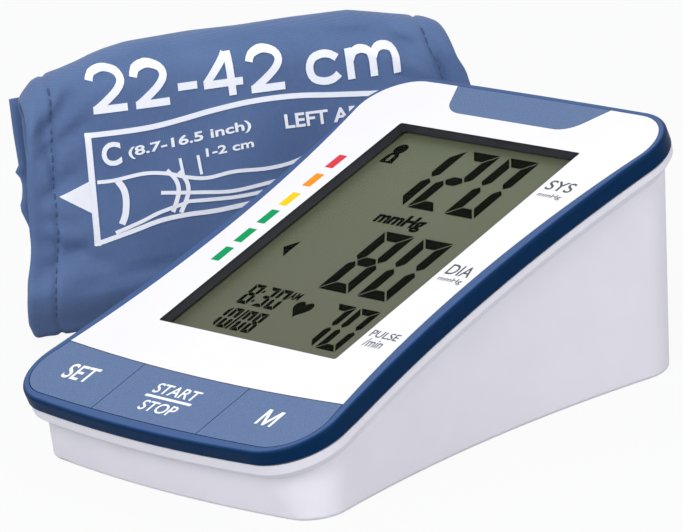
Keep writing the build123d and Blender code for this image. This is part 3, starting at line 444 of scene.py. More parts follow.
@dataclass(frozen=True)
class MouldedPlastic:
    """Injection-moulded ABS. The spark-eroded mould leaves a fine grain that breaks the highlight up."""

    name: str
    colour: str
    surface: Surface = Surface.SATIN
    tint: str | None = None         # colour of the faint flow clouds
    clouds_mm: float = 18.0

    def material(self) -> bpy.types.Material:
        """Builds the node material.

        Returns:
            The grained and faintly clouded plastic.
        """
        material, tree, place = new_material(self.name)
        roughness, grain, depth = self.surface.value
        clouds = add(tree, "TexNoise", {"Vector": place, "Scale": per_mm(self.clouds_mm), "Detail": 2.0})
        stops = ((0.3, self.colour), (0.75, self.tint or self.colour))
        colour = add(tree, "ValToRGB", {0: clouds}, stops=stops)
        fine = add(tree, "TexNoise", {"Vector": place, "Scale": per_mm(2 * grain), "Detail": 1.0})
        polish = add(tree, "MapRange", {0: clouds, 3: roughness - 0.04, 4: roughness + 0.05})
        bump = add(tree, "Bump", {"Strength": 0.35, "Distance": depth * MM, "Height": fine})
        shader = add(tree, "BsdfPrincipled", {
            "Base Color": colour, "Roughness": polish, "IOR": IOR_PLASTIC, "Specular IOR Level": 0.3,
            "Normal": bump,
        })
        add(tree, "OutputMaterial", {0: shader})
        return material


@dataclass(frozen=True)
class PlasticPaintedLightByFacing:
    """ABS coloured by which way each face turns: faces along up take the top colour and the sides the navy,
    with a soft change over the rounded edge, so the edge reads as a thin bright line and every gap as a dark
    one.
    On the rim the lighter top is painted reflection of the sky on the navy plastic; on the keys the top is
    their own periwinkle and the darker edge and navy sides are painted shade in the gaps."""

    name: str
    top: str
    edge: str
    side: str
    up: tuple[float, float, float]
    roughness: float = 0.34
    grain_mm: float = 0.12
    clouds_mm: float = 16.67

    def material(self) -> bpy.types.Material:
        """Builds the node material.

        Returns:
            The two-colour plastic.
        """
        material, tree, place = new_material(self.name)
        normal = place.node.outputs["Normal"]
        facing = add(tree, "VectorMath", {0: normal, 1: self.up}, operation="DOT_PRODUCT").outputs["Value"]
        clouds = add(tree, "TexNoise", {"Vector": place, "Scale": per_mm(self.clouds_mm), "Detail": 2.0})
        bent = add(tree, "Math", {0: clouds, 1: 0.02, 2: facing}, operation="MULTIPLY_ADD")
        # top colour: painted reflection on the rim, own colour on the keys; edge and side colours: painted
        # shade on the keys, own navy on the rim
        stops = ((0.72, self.side), (0.96, self.edge), (0.985, self.edge), (0.999, self.top))
        colour_and_painted_light = add(tree, "ValToRGB", {0: bent}, stops=stops)
        fine = add(tree, "TexNoise", {"Vector": place, "Scale": per_mm(2 * self.grain_mm), "Detail": 1.0})
        speck = add(tree, "MapRange", {0: fine, 1: 0.25, 2: 0.75, 3: 0.86, 4: 1.14})
        colour = add(tree, "HueSaturation", {"Value": speck, "Color": colour_and_painted_light})
        bump = add(tree, "Bump", {"Strength": 0.3, "Distance": 0.02 * MM, "Height": fine})
        shader = add(tree, "BsdfPrincipled", {
            "Base Color": colour, "Roughness": self.roughness, "IOR": IOR_PLASTIC, "Specular IOR Level": 0.05,
            "Normal": bump,
        })
        add(tree, "OutputMaterial", {0: shader})
        return material


@dataclass(frozen=True)
class PrintedSheet:
    """Screen-printed polycarbonate sheet: white ink behind a clear skin, so it is bright with a smooth sheen.
    Faces that turn away from up, such as the cut edge of the window, take the dark cut colour, so no white
    line shows round the display."""

    name: str
    colour: str
    tint: str
    cut: str
    up: tuple[float, float, float]
    clouds_mm: float = 33.33
    peel_mm: float = 1.111

    def material(self) -> bpy.types.Material:
        """Builds the node material.

        Returns:
            The printed sheet.
        """
        material, tree, place = new_material(self.name)
        clouds = add(tree, "TexNoise", {"Vector": place, "Scale": per_mm(self.clouds_mm), "Detail": 2.0})
        sheet = add(tree, "ValToRGB", {0: clouds}, stops=((0.3, self.colour), (0.8, self.tint)))
        normal = place.node.outputs["Normal"]
        facing = add(tree, "VectorMath", {0: normal, 1: self.up}, operation="DOT_PRODUCT").outputs["Value"]
        flat = add(tree, "MapRange", {0: facing, 1: 0.6, 2: 0.9})
        colour = add(tree, "Mix", {0: flat, 6: linear(self.cut), 7: sheet}, data_type="RGBA").outputs[2]
        peel = add(tree, "TexNoise", {"Vector": place, "Scale": per_mm(self.peel_mm), "Detail": 1.0})
        bump = add(tree, "Bump", {"Strength": 0.08, "Distance": 0.03 * MM, "Height": peel})
        shader = add(tree, "BsdfPrincipled", {
            "Base Color": colour, "Roughness": 0.3, "IOR": 1.58, "Specular IOR Level": 0.25, "Normal": bump,
            "Coat Weight": 0.08, "Coat Roughness": 0.12,
        })
        add(tree, "OutputMaterial", {0: shader})
        return material


@dataclass(frozen=True)
class ScreenInk:
    """Screen-printed ink, a thin dull film with the mesh of the screen just felt in it."""

    name: str
    colour: str
    roughness: float = 0.55
    specular: float = 0.05
    mesh_mm: float = 0.4            # drawn coarser than the real 0.1 mm so that the mesh shows

    def material(self) -> bpy.types.Material:
        """Builds the node material.

        Returns:
            The ink.
        """
        material, tree, place = new_material(self.name)
        mesh = add(tree, "TexNoise", {"Vector": place, "Scale": per_mm(self.mesh_mm), "Detail": 1.0})
        depth = add(tree, "MapRange", {0: mesh, 3: 0.94, 4: 1.06})
        colour = add(tree, "HueSaturation", {"Color": linear(self.colour), "Value": depth})
        bump = add(tree, "Bump", {"Strength": 0.15, "Distance": 0.01 * MM, "Height": mesh})
        shader = add(tree, "BsdfPrincipled", {
            "Base Color": colour, "Roughness": self.roughness, "IOR": 1.5, "Normal": bump,
            "Specular IOR Level": self.specular,
        })
        add(tree, "OutputMaterial", {0: shader})
        return material


@dataclass(frozen=True)
class ClearAcrylic:
    """Cast acrylic window: it lets nearly all light through and keeps a clean Fresnel gloss."""

    name: str
    haze_mm: float = 40.0

    def material(self) -> bpy.types.Material:
        """Builds the node material.

        Returns:
            The clear acrylic, bloomed against glare on its outside.
        """
        material, tree, place = new_material(self.name)
        clear = add(tree, "BsdfTransparent", {"Color": linear("#fbfcfa")})
        haze = add(tree, "TexNoise", {"Vector": place, "Scale": per_mm(self.haze_mm), "Detail": 3.0})
        polish = add(tree, "MapRange", {0: haze, 3: 0.04, 4: 0.1})
        gloss = add(tree, "BsdfGlossy", {"Roughness": polish})
        fresnel = add(tree, "Fresnel", {"IOR": 1.04})
        inside = add(tree, "NewGeometry").outputs["Backfacing"]
        outside = add(tree, "Math", {0: 1.0, 1: inside}, operation="SUBTRACT")
        share = add(tree, "Math", {0: fresnel, 1: outside}, operation="MULTIPLY")
        add(tree, "OutputMaterial", {0: add(tree, "MixShader", {0: share, 1: clear, 2: gloss})})
        return material


@dataclass(frozen=True)
class LiquidCrystal:
    """Reflective LCD glass: olive grey, a little greener towards the back, with faint streaks of painted
    reflection.
    """

    name: str
    front: str
    middle: str
    back: str
    front_y: float
    back_y: float
    reflection_streak_mm: tuple[float, float, float] = (3.846, 111.1, 111.1)

    def material(self) -> bpy.types.Material:
        """Builds the node material.

        Returns:
            The glass.
        """
        material, tree, place = new_material(self.name)
        depth = add(tree, "SeparateXYZ", {0: place}).outputs["Y"]
        share = add(tree, "MapRange", {0: depth, 1: self.front_y, 2: self.back_y})
        # faint streaks along the slope: a painted reflection in the glass
        stretched = add(tree, "Mapping", {"Vector": place, "Scale": tuple(map(per_mm, self.reflection_streak_mm))})
        painted_reflection_streaks = add(tree, "TexNoise", {"Vector": stretched, "Scale": 1.0, "Detail": 3.0})
        moved = add(tree, "Math", {0: painted_reflection_streaks, 1: 0.22, 2: share}, operation="MULTIPLY_ADD")
        stops = ((0.1, self.front), (0.6, self.middle), (1.0, self.back))
        shader = add(tree, "BsdfPrincipled", {
            "Base Color": add(tree, "ValToRGB", {0: moved}, stops=stops), "Roughness": 0.4, "IOR": 1.5,
            "Specular IOR Level": 0.1,
        })
        add(tree, "OutputMaterial", {0: shader})
        return material


@dataclass(frozen=True)
class WovenNylon:
    """Plain-weave nylon cloth with a proofed back: crossing threads give a dry, slightly silvery face."""

    name: str
    colour: str
    dark: str
    thread_mm: float = 0.62         # drawn coarser than the real 0.3 mm so that the weave shows
    heading_deg: float = 0.0
    slub_mm: float = 1.4286
    clouds_mm: float = 35.71

    def material(self) -> bpy.types.Material:
        """Builds the node material.

        Returns:
            The cloth.
        """
        material, tree, place = new_material(self.name)
        heading = math.radians(self.heading_deg)
        turned = add(tree, "Mapping", {"Vector": place, "Rotation": (0, 0, -heading)})
        scale = per_mm(self.thread_mm * BANDS_PER_SCALE)
        threads = {"Vector": turned, "Scale": scale, "Distortion": 1.2, "Detail": 1.0}
        warp = add(tree, "TexWave", threads, bands_direction="X").outputs[1]
        weft = add(tree, "TexWave", threads, bands_direction="Z").outputs[1]
        weave = add(tree, "Math", {0: warp, 1: weft}, operation="MULTIPLY")
        slub = add(tree, "TexNoise", {"Vector": turned, "Scale": per_mm(self.slub_mm), "Detail": 2.0})
        clouds = add(tree, "TexNoise", {"Vector": place, "Scale": per_mm(self.clouds_mm), "Detail": 3.0})
        blend = add(tree, "Math", {0: weave, 1: 0.35, 2: clouds}, operation="MULTIPLY_ADD")
        grain = add(tree, "Math", {0: slub, 1: 0.25, 2: blend}, operation="MULTIPLY_ADD")
        colour = add(tree, "ValToRGB", {0: grain}, stops=((0.35, self.dark), (0.95, self.colour)))
        height = add(tree, "Math", {0: slub, 1: 0.5, 2: weave}, operation="MULTIPLY_ADD")
        bump = add(tree, "Bump", {"Strength": 0.4, "Distance": 0.06 * MM, "Height": height})
        shader = add(tree, "BsdfPrincipled", {
            "Base Color": colour, "Roughness": 0.7, "IOR": 1.5, "Specular IOR Level": 0.3, "Normal": bump,
            "Sheen Weight": 0.08, "Sheen Roughness": 0.45,
        })
        add(tree, "OutputMaterial", {0: shader})
        return material


@dataclass(frozen=True)
class PileTape:
    """Hook or loop tape: a dense pile of short nylon, drawn as fine cells with a soft sheen."""

    name: str
    colour: str
    pile_mm: float
    shade: str = "#20293c"          # between the tufts

    def material(self) -> bpy.types.Material:
        """Builds the node material.

        Returns:
            The tape.
        """
        material, tree, place = new_material(self.name)
        pile = add(tree, "TexVoronoi", {"Vector": place, "Scale": per_mm(self.pile_mm)})
        colour = add(tree, "ValToRGB", {0: pile}, stops=((0.0, self.colour), (0.9, self.shade)))
        bump = add(tree, "Bump", {"Strength": 0.8, "Distance": 0.3 * MM, "Height": pile}, invert=True)
        shader = add(tree, "BsdfPrincipled", {
            "Base Color": colour, "Roughness": 0.85, "Normal": bump, "Sheen Weight": 0.3,
        })
        add(tree, "OutputMaterial", {0: shader})
        return material


@dataclass(frozen=True)
class Metal:
    """Metal part; the noise is stretched along one axis where it was drawn or rolled."""

    name: str
    colour: str
    roughness: float
    grain_mm: tuple[float, float, float] = (2.5, 2.5, 2.5)

    def material(self) -> bpy.types.Material:
        """Builds the node material.

        Returns:
            The metal.
        """
        material, tree, place = new_material(self.name)
        stretched = add(tree, "Mapping", {"Vector": place, "Scale": tuple(map(per_mm, self.grain_mm))})
        lines = add(tree, "TexNoise", {"Vector": stretched, "Scale": 1.0, "Detail": 3.0})
        polish = add(tree, "MapRange", {0: lines, 3: self.roughness - 0.06, 4: self.roughness + 0.1})
        bump = add(tree, "Bump", {"Strength": 0.15, "Distance": 0.03 * MM, "Height": lines})
        shader = add(tree, "BsdfPrincipled", {
            "Base Color": linear(self.colour), "Metallic": 1.0, "Roughness": polish, "Normal": bump,
        })
        add(tree, "OutputMaterial", {0: shader})
        return material


@dataclass(frozen=True)
class Rubber:
    """Moulded elastomer, dull and slightly dusty."""

    name: str
    colour: str
    dust: str
    dust_mm: float = 2.857

    def material(self) -> bpy.types.Material:
        """Builds the node material.

        Returns:
            The rubber.
        """
        material, tree, place = new_material(self.name)
        dust = add(tree, "TexNoise", {"Vector": place, "Scale": per_mm(self.dust_mm), "Detail": 4.0})
        colour = add(tree, "ValToRGB", {0: dust}, stops=((0.4, self.colour), (0.85, self.dust)))
        bump = add(tree, "Bump", {"Strength": 0.3, "Distance": 0.04 * MM, "Height": dust})
        shader = add(tree, "BsdfPrincipled", {"Base Color": colour, "Roughness": 0.78, "Normal": bump})
        add(tree, "OutputMaterial", {0: shader})
        return material


@dataclass(frozen=True)
class BoardLaminate:
    """Glass-epoxy board under green solder mask, with paler copper areas showing through."""

    name: str
    masks: tuple[str, str] = ("#1d5a36", "#226a40")
    copper: str = "#3c8a58"
    track_mm: float = 6.25

    def material(self) -> bpy.types.Material:
        """Builds the node material.

        Returns:
            The laminate.
        """
        material, tree, place = new_material(self.name)
        tracks = add(tree, "TexBrick", {
            "Vector": place, "Scale": per_mm(self.track_mm), "Mortar Size": 0.06,
            "Color1": linear(self.masks[0]), "Color2": linear(self.masks[1]), "Mortar": linear(self.copper),
        })
        shader = add(tree, "BsdfPrincipled", {"Base Color": tracks, "Roughness": 0.35})
        add(tree, "OutputMaterial", {0: shader})
        return material


# ---- panel -------------------------------------------------------------------------------------------
@dataclass(frozen=True)
class Panel:
    """The sloping face of the monitor: x runs across it, s up the slope and height out of it, in mm."""

    tilt_deg: float = 17.55
    top_z: float = 47.7

    @property
    def normal(self) -> Vector:
        """Direction out of the face."""
        tilt = math.radians(self.tilt_deg)
        return Vector((0, -math.sin(tilt), math.cos(tilt)))

    def point(self, x: np.ndarray, s: np.ndarray, height: np.ndarray) -> np.ndarray:
        """Gives the points at a height above the face.

        Args:
            x: Places across the face.
            s: Places up the slope.
            height: Heights above the face plane.

        Returns:
            The points in metres, one in each row.
        """
        tilt = math.radians(self.tilt_deg)
        level = np.stack([x, s * math.cos(tilt), self.top_z + s * math.sin(tilt)], -1)
        return (level + np.array(self.normal) * height[:, None]) * MM


@dataclass
class Part:
    """A sub-assembly. It dresses its CAD nodes and adds its own pieces."""

    frame: dict
    finishes: dict[str, bpy.types.Material]

    def dress(self, **choices: str) -> None:
        """Gives CAD nodes their finish.

        Args:
            **choices: Name of the finish for each node.
        """
        for node, finish in choices.items():
            coat(self.frame["nodes"][node], self.finishes[finish])

    def piece(self, obj: bpy.types.Object, body: str, slot: str, finish: str) -> None:
        """Finishes a new piece.

        Args:
            obj: The piece, in place.
            body: CAD body that carries it.
            slot: Material slot of the record that it belongs to; not used.
            finish: Name of its finish.
        """
        coat(obj, self.finishes[finish])
        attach(obj, body)
        log.info("%s rides on %s", obj.name, body)


@dataclass
class FacePart(Part):
    """A sub-assembly with thin shapes laid on the sloping face or in parallel below it."""

    panel: Panel = Panel()
    ink_low: float = -0.05          # the shapes start just below the surface
    ink_high: float = 0.03          # and stand just proud of it

    def lay(
        self, name: str, flat: bmesh.types.BMesh, body: str, slot: str, finish: str, lift: float = 0.0
    ) -> None:
        """Lays a shape on the face.

        Args:
            name: Name of the piece.
            flat: Its flat mesh.
            body: CAD body that carries it.
            slot: Material slot of the record that it belongs to.
            finish: Name of its finish.
            lift: How much prouder than the others it stands.
        """
        shape = inlay(name, flat, self.panel.point, self.ink_low, self.ink_high + lift)
        self.piece(shape, body, slot, finish)


# ---- housing -----------------------------------------------------------------------------------------
@dataclass
class Housing(FacePart):
    """Base shell, rim, face sheet and tab, with the traffic-light bars and the labels printed on the face."""

    bar_left: float = -43.9
    bar_right: float = -40.5
    bars: tuple[tuple[float, float, str], ...] = (      # top, bottom and colour
        (42.0, 35.3, "red"), (31.9, 25.3, "orange"), (21.6, 15.0, "yellow"),
        (12.4, 5.5, "green"), (2.5, -4.4, "green"), (-7.3, -14.1, "green"),
    )
    labels: tuple[tuple[str, Box], ...] = (
        ("SYS", (40.3, 42.9, 50.3, 47.5)), ("mmHg", (40.6, 39.0, 49.6, 41.3)),
        ("DIA", (40.6, -0.3, 49.8, 4.4)), ("mmHg", (40.6, -3.9, 49.8, -1.5)),
        ("PULSE", (40.1, -31.5, 50.9, -28.5)), ("/min", (41.3, -35.8, 48.3, -32.2)),
    )
    label_weight: float = 0.008

    def build(self) -> None:
        """Dresses the shells and prints the face."""
        self.dress(base_shell="white_abs", upper_frame="rim_abs", face_plate="face_sheet", top_tab="blue_abs",
                   housing_screws="steel", rubber_feet="grey_rubber", battery_door="white_abs")
        for i, (top, bottom, ink) in enumerate(self.bars):
            bar = outlines(rectangle((self.bar_left, bottom, self.bar_right, top)))
            self.lay(f"face_bar_{i}", bar, BODY, "face_plastic", f"ink_{ink}")
        for i, (text, box) in enumerate(self.labels):
            words = lettering(text, box, self.label_weight)
            self.lay(f"face_label_{i}", words, BODY, "face_plastic", "ink_grey")


# ---- keys --------------------------------------------------------------------------------------------
@dataclass
class Keys(FacePart):
    """Three keys of one flush strip, each with its white legend."""

    edge: float = 0.35              # moulded rounding
    edge_from_deg: float = 50.0     # corners sharper than this are rounded
    crisp_from_deg: float = 18.0    # and faces that meet at more than this keep a hard line
    weld: float = 0.001             # corners closer than this are one point
    legends: tuple[tuple[str, str, Box], ...] = (
        ("key_set", "SET", (-46.2, -75.0, -34.0, -68.3)),
        ("key_start_stop", "START", (-9.0, -72.3, 9.0, -67.9)),
        ("key_start_stop", "STOP", (-7.2, -80.0, 7.2, -75.6)),
        ("key_memory", "M", (36.7, -74.8, 43.1, -68.1)),
    )
    legend_weight: float = 0.012
    rule: Box = (-9.6, -74.3, 9.6, -73.3)
    letter_m: tuple[Flat, ...] = (  # squarer than the lettering's own, as shares of its box
        (0.0, 0.0), (0.15, 0.0), (0.15, 0.70), (0.44, 0.0), (0.56, 0.0), (0.85, 0.70), (0.85, 0.0),
        (1.0, 0.0), (1.0, 1.0), (0.79, 1.0), (0.5, 0.28), (0.21, 1.0), (0.0, 1.0),
    )

    def build(self) -> None:
        """Dresses the keys, rounds their edges and prints their legends."""
        self.dress(key_set="blue_abs", key_start_stop="blue_abs", key_memory="blue_abs")
        for key in ("key_set", "key_start_stop", "key_memory"):
            modifiers = self.frame["nodes"][key].modifiers
            modifiers.new("joined_faces", "WELD").merge_threshold = self.weld * MM
            edge = modifiers.new("moulded_edge", "BEVEL")
            edge.width = self.edge * MM
            edge.segments = 2
            edge.limit_method = "ANGLE"
            edge.angle_limit = math.radians(self.edge_from_deg)
            modifiers.new("crisp_faces", "EDGE_SPLIT").split_angle = math.radians(self.crisp_from_deg)
        for key, text, box in self.legends:
            if text == "M":
                left, low, right, high = box
                wide, tall = right - left, high - low
                flat = outlines([(left + x * wide, low + y * tall) for x, y in self.letter_m])
            else:
                flat = lettering(text, box, self.legend_weight)
            self.lay(f"legend_{text.lower()}", flat, key, "key_plastic", "ink_white")
        self.lay("legend_rule", outlines(rectangle(self.rule)), "key_start_stop", "key_plastic", "ink_white")


# ---- display -----------------------------------------------------------------------------------------
class SegmentStroke(Enum):
    """Strokes of the segments in mm: width of the upright ones, of the level ones and the gap between two."""

    LARGE = (3.75, 4.0, 0.42)
    MIDDLE = (2.4, 2.6, 0.35)
    SMALL = (1.3, 1.4, 0.18)


@dataclass(frozen=True)
class DigitRow:
    """A row of seven-segment digits with mitred corners."""

    name: str
    base: float
    height: float
    stroke: SegmentStroke
    digits: tuple[tuple[str, float, float], ...]        # figure, left side and width

    LIT: ClassVar[dict[str, str]] = {
        "0": "abcdef", "1": "bc", "2": "abged", "3": "abgcd", "7": "abc", "8": "abcdefg",
    }

    def segments(self, width: float) -> dict[str, list[Flat]]:
        """Gives the outline of each segment of a digit whose lower left corner is at the origin.

        Args:
            width: Width of the digit.

        Returns:
            The outlines, by the usual letters a to g.
        """
        w, top, mid = width, self.height, self.height / 2
        tx, ty, g = self.stroke.value
        upper_right = [(w, top - g), (w - tx, top - ty - g), (w - tx, mid + ty / 2 + g),
                       (w - tx / 2, mid + g), (w, mid + ty / 2)]
        across = [(g, top), (w - g, top), (w - tx - g, top - ty), (tx + g, top - ty)]
        middle = [(tx / 2 + g, mid), (tx + g, mid + ty / 2), (w - tx - g, mid + ty / 2),
                  (w - tx / 2 - g, mid), (w - tx - g, mid - ty / 2), (tx + g, mid - ty / 2)]
        shapes = {"a": across, "b": upper_right, "f": [(w - x, y) for x, y in upper_right], "g": middle}
        for upper, lower in ("ad", "bc", "fe"):
            shapes[lower] = [(x, top - y) for x, y in shapes[upper]]
        return shapes

    def lit(self) -> list[list[Flat]]:
        """Gives the outline of every lit segment of the row."""
        return [[(left + x, self.base + y) for x, y in self.segments(width)[letter]]
                for figure, left, width in self.digits for letter in self.LIT[figure]]


@dataclass
class Display(FacePart):
    """Bezel walls, clear lens and LCD glass, with the segments lying on the glass."""

    ink_low: float = -3.79          # the glass lies this far down
    ink_high: float = -3.72
    glass_depth: float = 3.75
    sight_x: float = 1.58           # seen past the labels, a figure shifts by these shares of the depth
    sight_s: float = 1.109
    rows: tuple[DigitRow, ...] = (
        DigitRow("lcd_sys", 24.7, 29.4, SegmentStroke.LARGE,
                 (("1", -12.2, 11.8), ("2", 1.6, 11.6), ("0", 17.0, 12.1))),
        DigitRow("lcd_dia", -16.7, 29.2, SegmentStroke.LARGE, (("8", 4.7, 12.2), ("0", 20.8, 12.0))),
        DigitRow("lcd_pulse", -40.9, 19.6, SegmentStroke.MIDDLE, (("7", 17.9, 7.9), ("0", 27.4, 8.1))),
        DigitRow("lcd_clock", -29.7, 9.4, SegmentStroke.SMALL,
                 (("8", -17.3, 4.3), ("3", -11.0, 4.3), ("0", -5.8, 4.3))),
        DigitRow("lcd_date", -41.2, 9.4, SegmentStroke.SMALL,
                 (("1", -18.9, 3.6), ("0", -14.4, 3.6), ("0", -8.4, 3.6), ("8", -4.0, 3.6))),
    )
    words: tuple[tuple[str, str, Box, float], ...] = (
        ("lcd_unit", "mmHg", (-4.3, 14.2, 15.3, 21.2), 0.04),
        ("lcd_am", "AM", (-1.2, -23.8, 2.9, -20.4), 0.01),
    )
    dot: tuple[Flat, ...] = ((-12.4, 0.0), (-11.6, 0.0), (-11.4, 1.1), (-12.2, 1.1))
    colon: tuple[float, float] = (-28.2, -23.6)         # lower side of each dot
    slash: tuple[Flat, ...] = ((-10.3, -41.2), (-9.5, -41.2), (-8.9, -31.8), (-9.7, -31.8))
    arrow: tuple[Flat, ...] = ((-24.0, -2.6), (-20.3, -6.5), (-20.3, 1.1))
    heart_at: Flat = (7.7, -26.6)
    heart_unit: tuple[float, float] = (0.225, 0.258)    # the heart's curve is 32 units wide
    head_at: Flat = (-24.7, 49.6)
    head_radii: tuple[float, float] = (2.35, 2.5)
    user_body: tuple[Flat, ...] = (
        (-27.2, 42.4), (-21.9, 42.4), (-22.4, 46.2), (-23.4, 47.6), (-26.0, 47.6), (-27.0, 46.2),
    )
    user_number: Box = (-25.3, 43.2, -24.1, 46.4)
    number_lift: float = 0.01       # the number is clear glass over the dark sign

    def lcd(self, name: str, flat: bmesh.types.BMesh, finish: str = "lcd_ink", lift: float = 0.0) -> None:
        """Lays a shape on the glass.

        Args:
            name: Name of the piece.
            flat: Its flat mesh, drawn where it lines up with the face.
            finish: Name of its finish.
            lift: How much prouder than the others it stands.
        """
        for v in flat.verts:
            v.co.x -= self.sight_x * self.glass_depth
            v.co.y += self.sight_s * self.glass_depth
        self.lay(name, flat, BODY, "lcd_glass", finish, lift)

    def pictures(self) -> None:
        """Lays the marks, the heart and the user sign on the glass."""
        dots = [[(x, low + s) for x, s in self.dot] for low in self.colon]
        self.lcd("lcd_marks", outlines(*dots, self.slash, self.arrow))
        (x, s), (wide, tall) = self.heart_at, self.heart_unit
        turns = np.linspace(0, 2 * math.pi, 40, endpoint=False)
        across = 16 * np.sin(turns) ** 3
        up = 13 * np.cos(turns) - 5 * np.cos(2 * turns) - 2 * np.cos(3 * turns) - np.cos(4 * turns)
        self.lcd("lcd_heart", outlines([(x + wide * a, s + tall * u) for a, u in zip(across, up)]))
        (x, s), (wide, tall) = self.head_at, self.head_radii
        turns = np.linspace(0, 2 * math.pi, 24, endpoint=False)
        head = [(x + wide * math.cos(t), s + tall * math.sin(t)) for t in turns]
        self.lcd("lcd_user", outlines(head, self.user_body))
        self.lcd("lcd_user_number", lettering("1", self.user_number), "lcd_glass", self.number_lift)

    def build(self) -> None:
        """Dresses the display stack and lights its segments."""
        self.dress(display_bezel="dark_abs", display_lens="clear_acrylic", lcd_glass="lcd_glass",
                   lcd_reflector="foil", lcd_tray="black_abs", lcd_contact_strip="zebra")
        for row in self.rows:
            self.lcd(row.name, outlines(*row.lit()))
        for name, text, box, weight in self.words:
            self.lcd(name, lettering(text, box, weight))
        self.pictures()


# ---- inside ------------------------------------------------------------------------------------------
@dataclass
class Electronics(Part):
    """Board, its components and switches, and the buzzer."""

    def build(self) -> None:
        """Dresses the board."""
        self.dress(main_board="laminate", board_components="chip", key_switches="black_abs",
                   buzzer="black_abs", board_screws="steel", motor_leads="red_pvc", battery_leads="black_pvc")


@dataclass
class PumpUnit(Part):
    """Pump, its clamp and saddle, and the air path to the socket in the left wall."""

    def build(self) -> None:
        """Dresses the pump and the air path."""
        self.dress(pump_motor="motor_steel", pump_head="pump_abs", pump_saddle="black_rubber",
                   pump_clamp="steel", clamp_screws="steel", air_manifold="natural_abs",
                   release_valve="valve_metal", pressure_sensor="natural_abs", air_hoses="clear_rubber",
                   air_socket="black_abs")


@dataclass
class PowerUnit(Part):
    """Four cells with their springs and plates, and the mains socket."""

    def build(self) -> None:
        """Dresses the battery bay and the mains socket."""
        self.dress(battery_cells="cell_jacket", battery_springs="spring_steel", battery_plates="steel",
                   dc_jack="black_abs")


# ---- cuff --------------------------------------------------------------------------------------------
@dataclass(frozen=True)
class Hump:
    """A soft rise across one coordinate: its height, where its middle is and how wide it is, in mm."""

    height: float
    middle: float
    width: float

    def at(self, places: np.ndarray) -> np.ndarray:
        """Gives the rise at each place."""
        return self.height * np.exp(-(((places - self.middle) / self.width) ** 2))


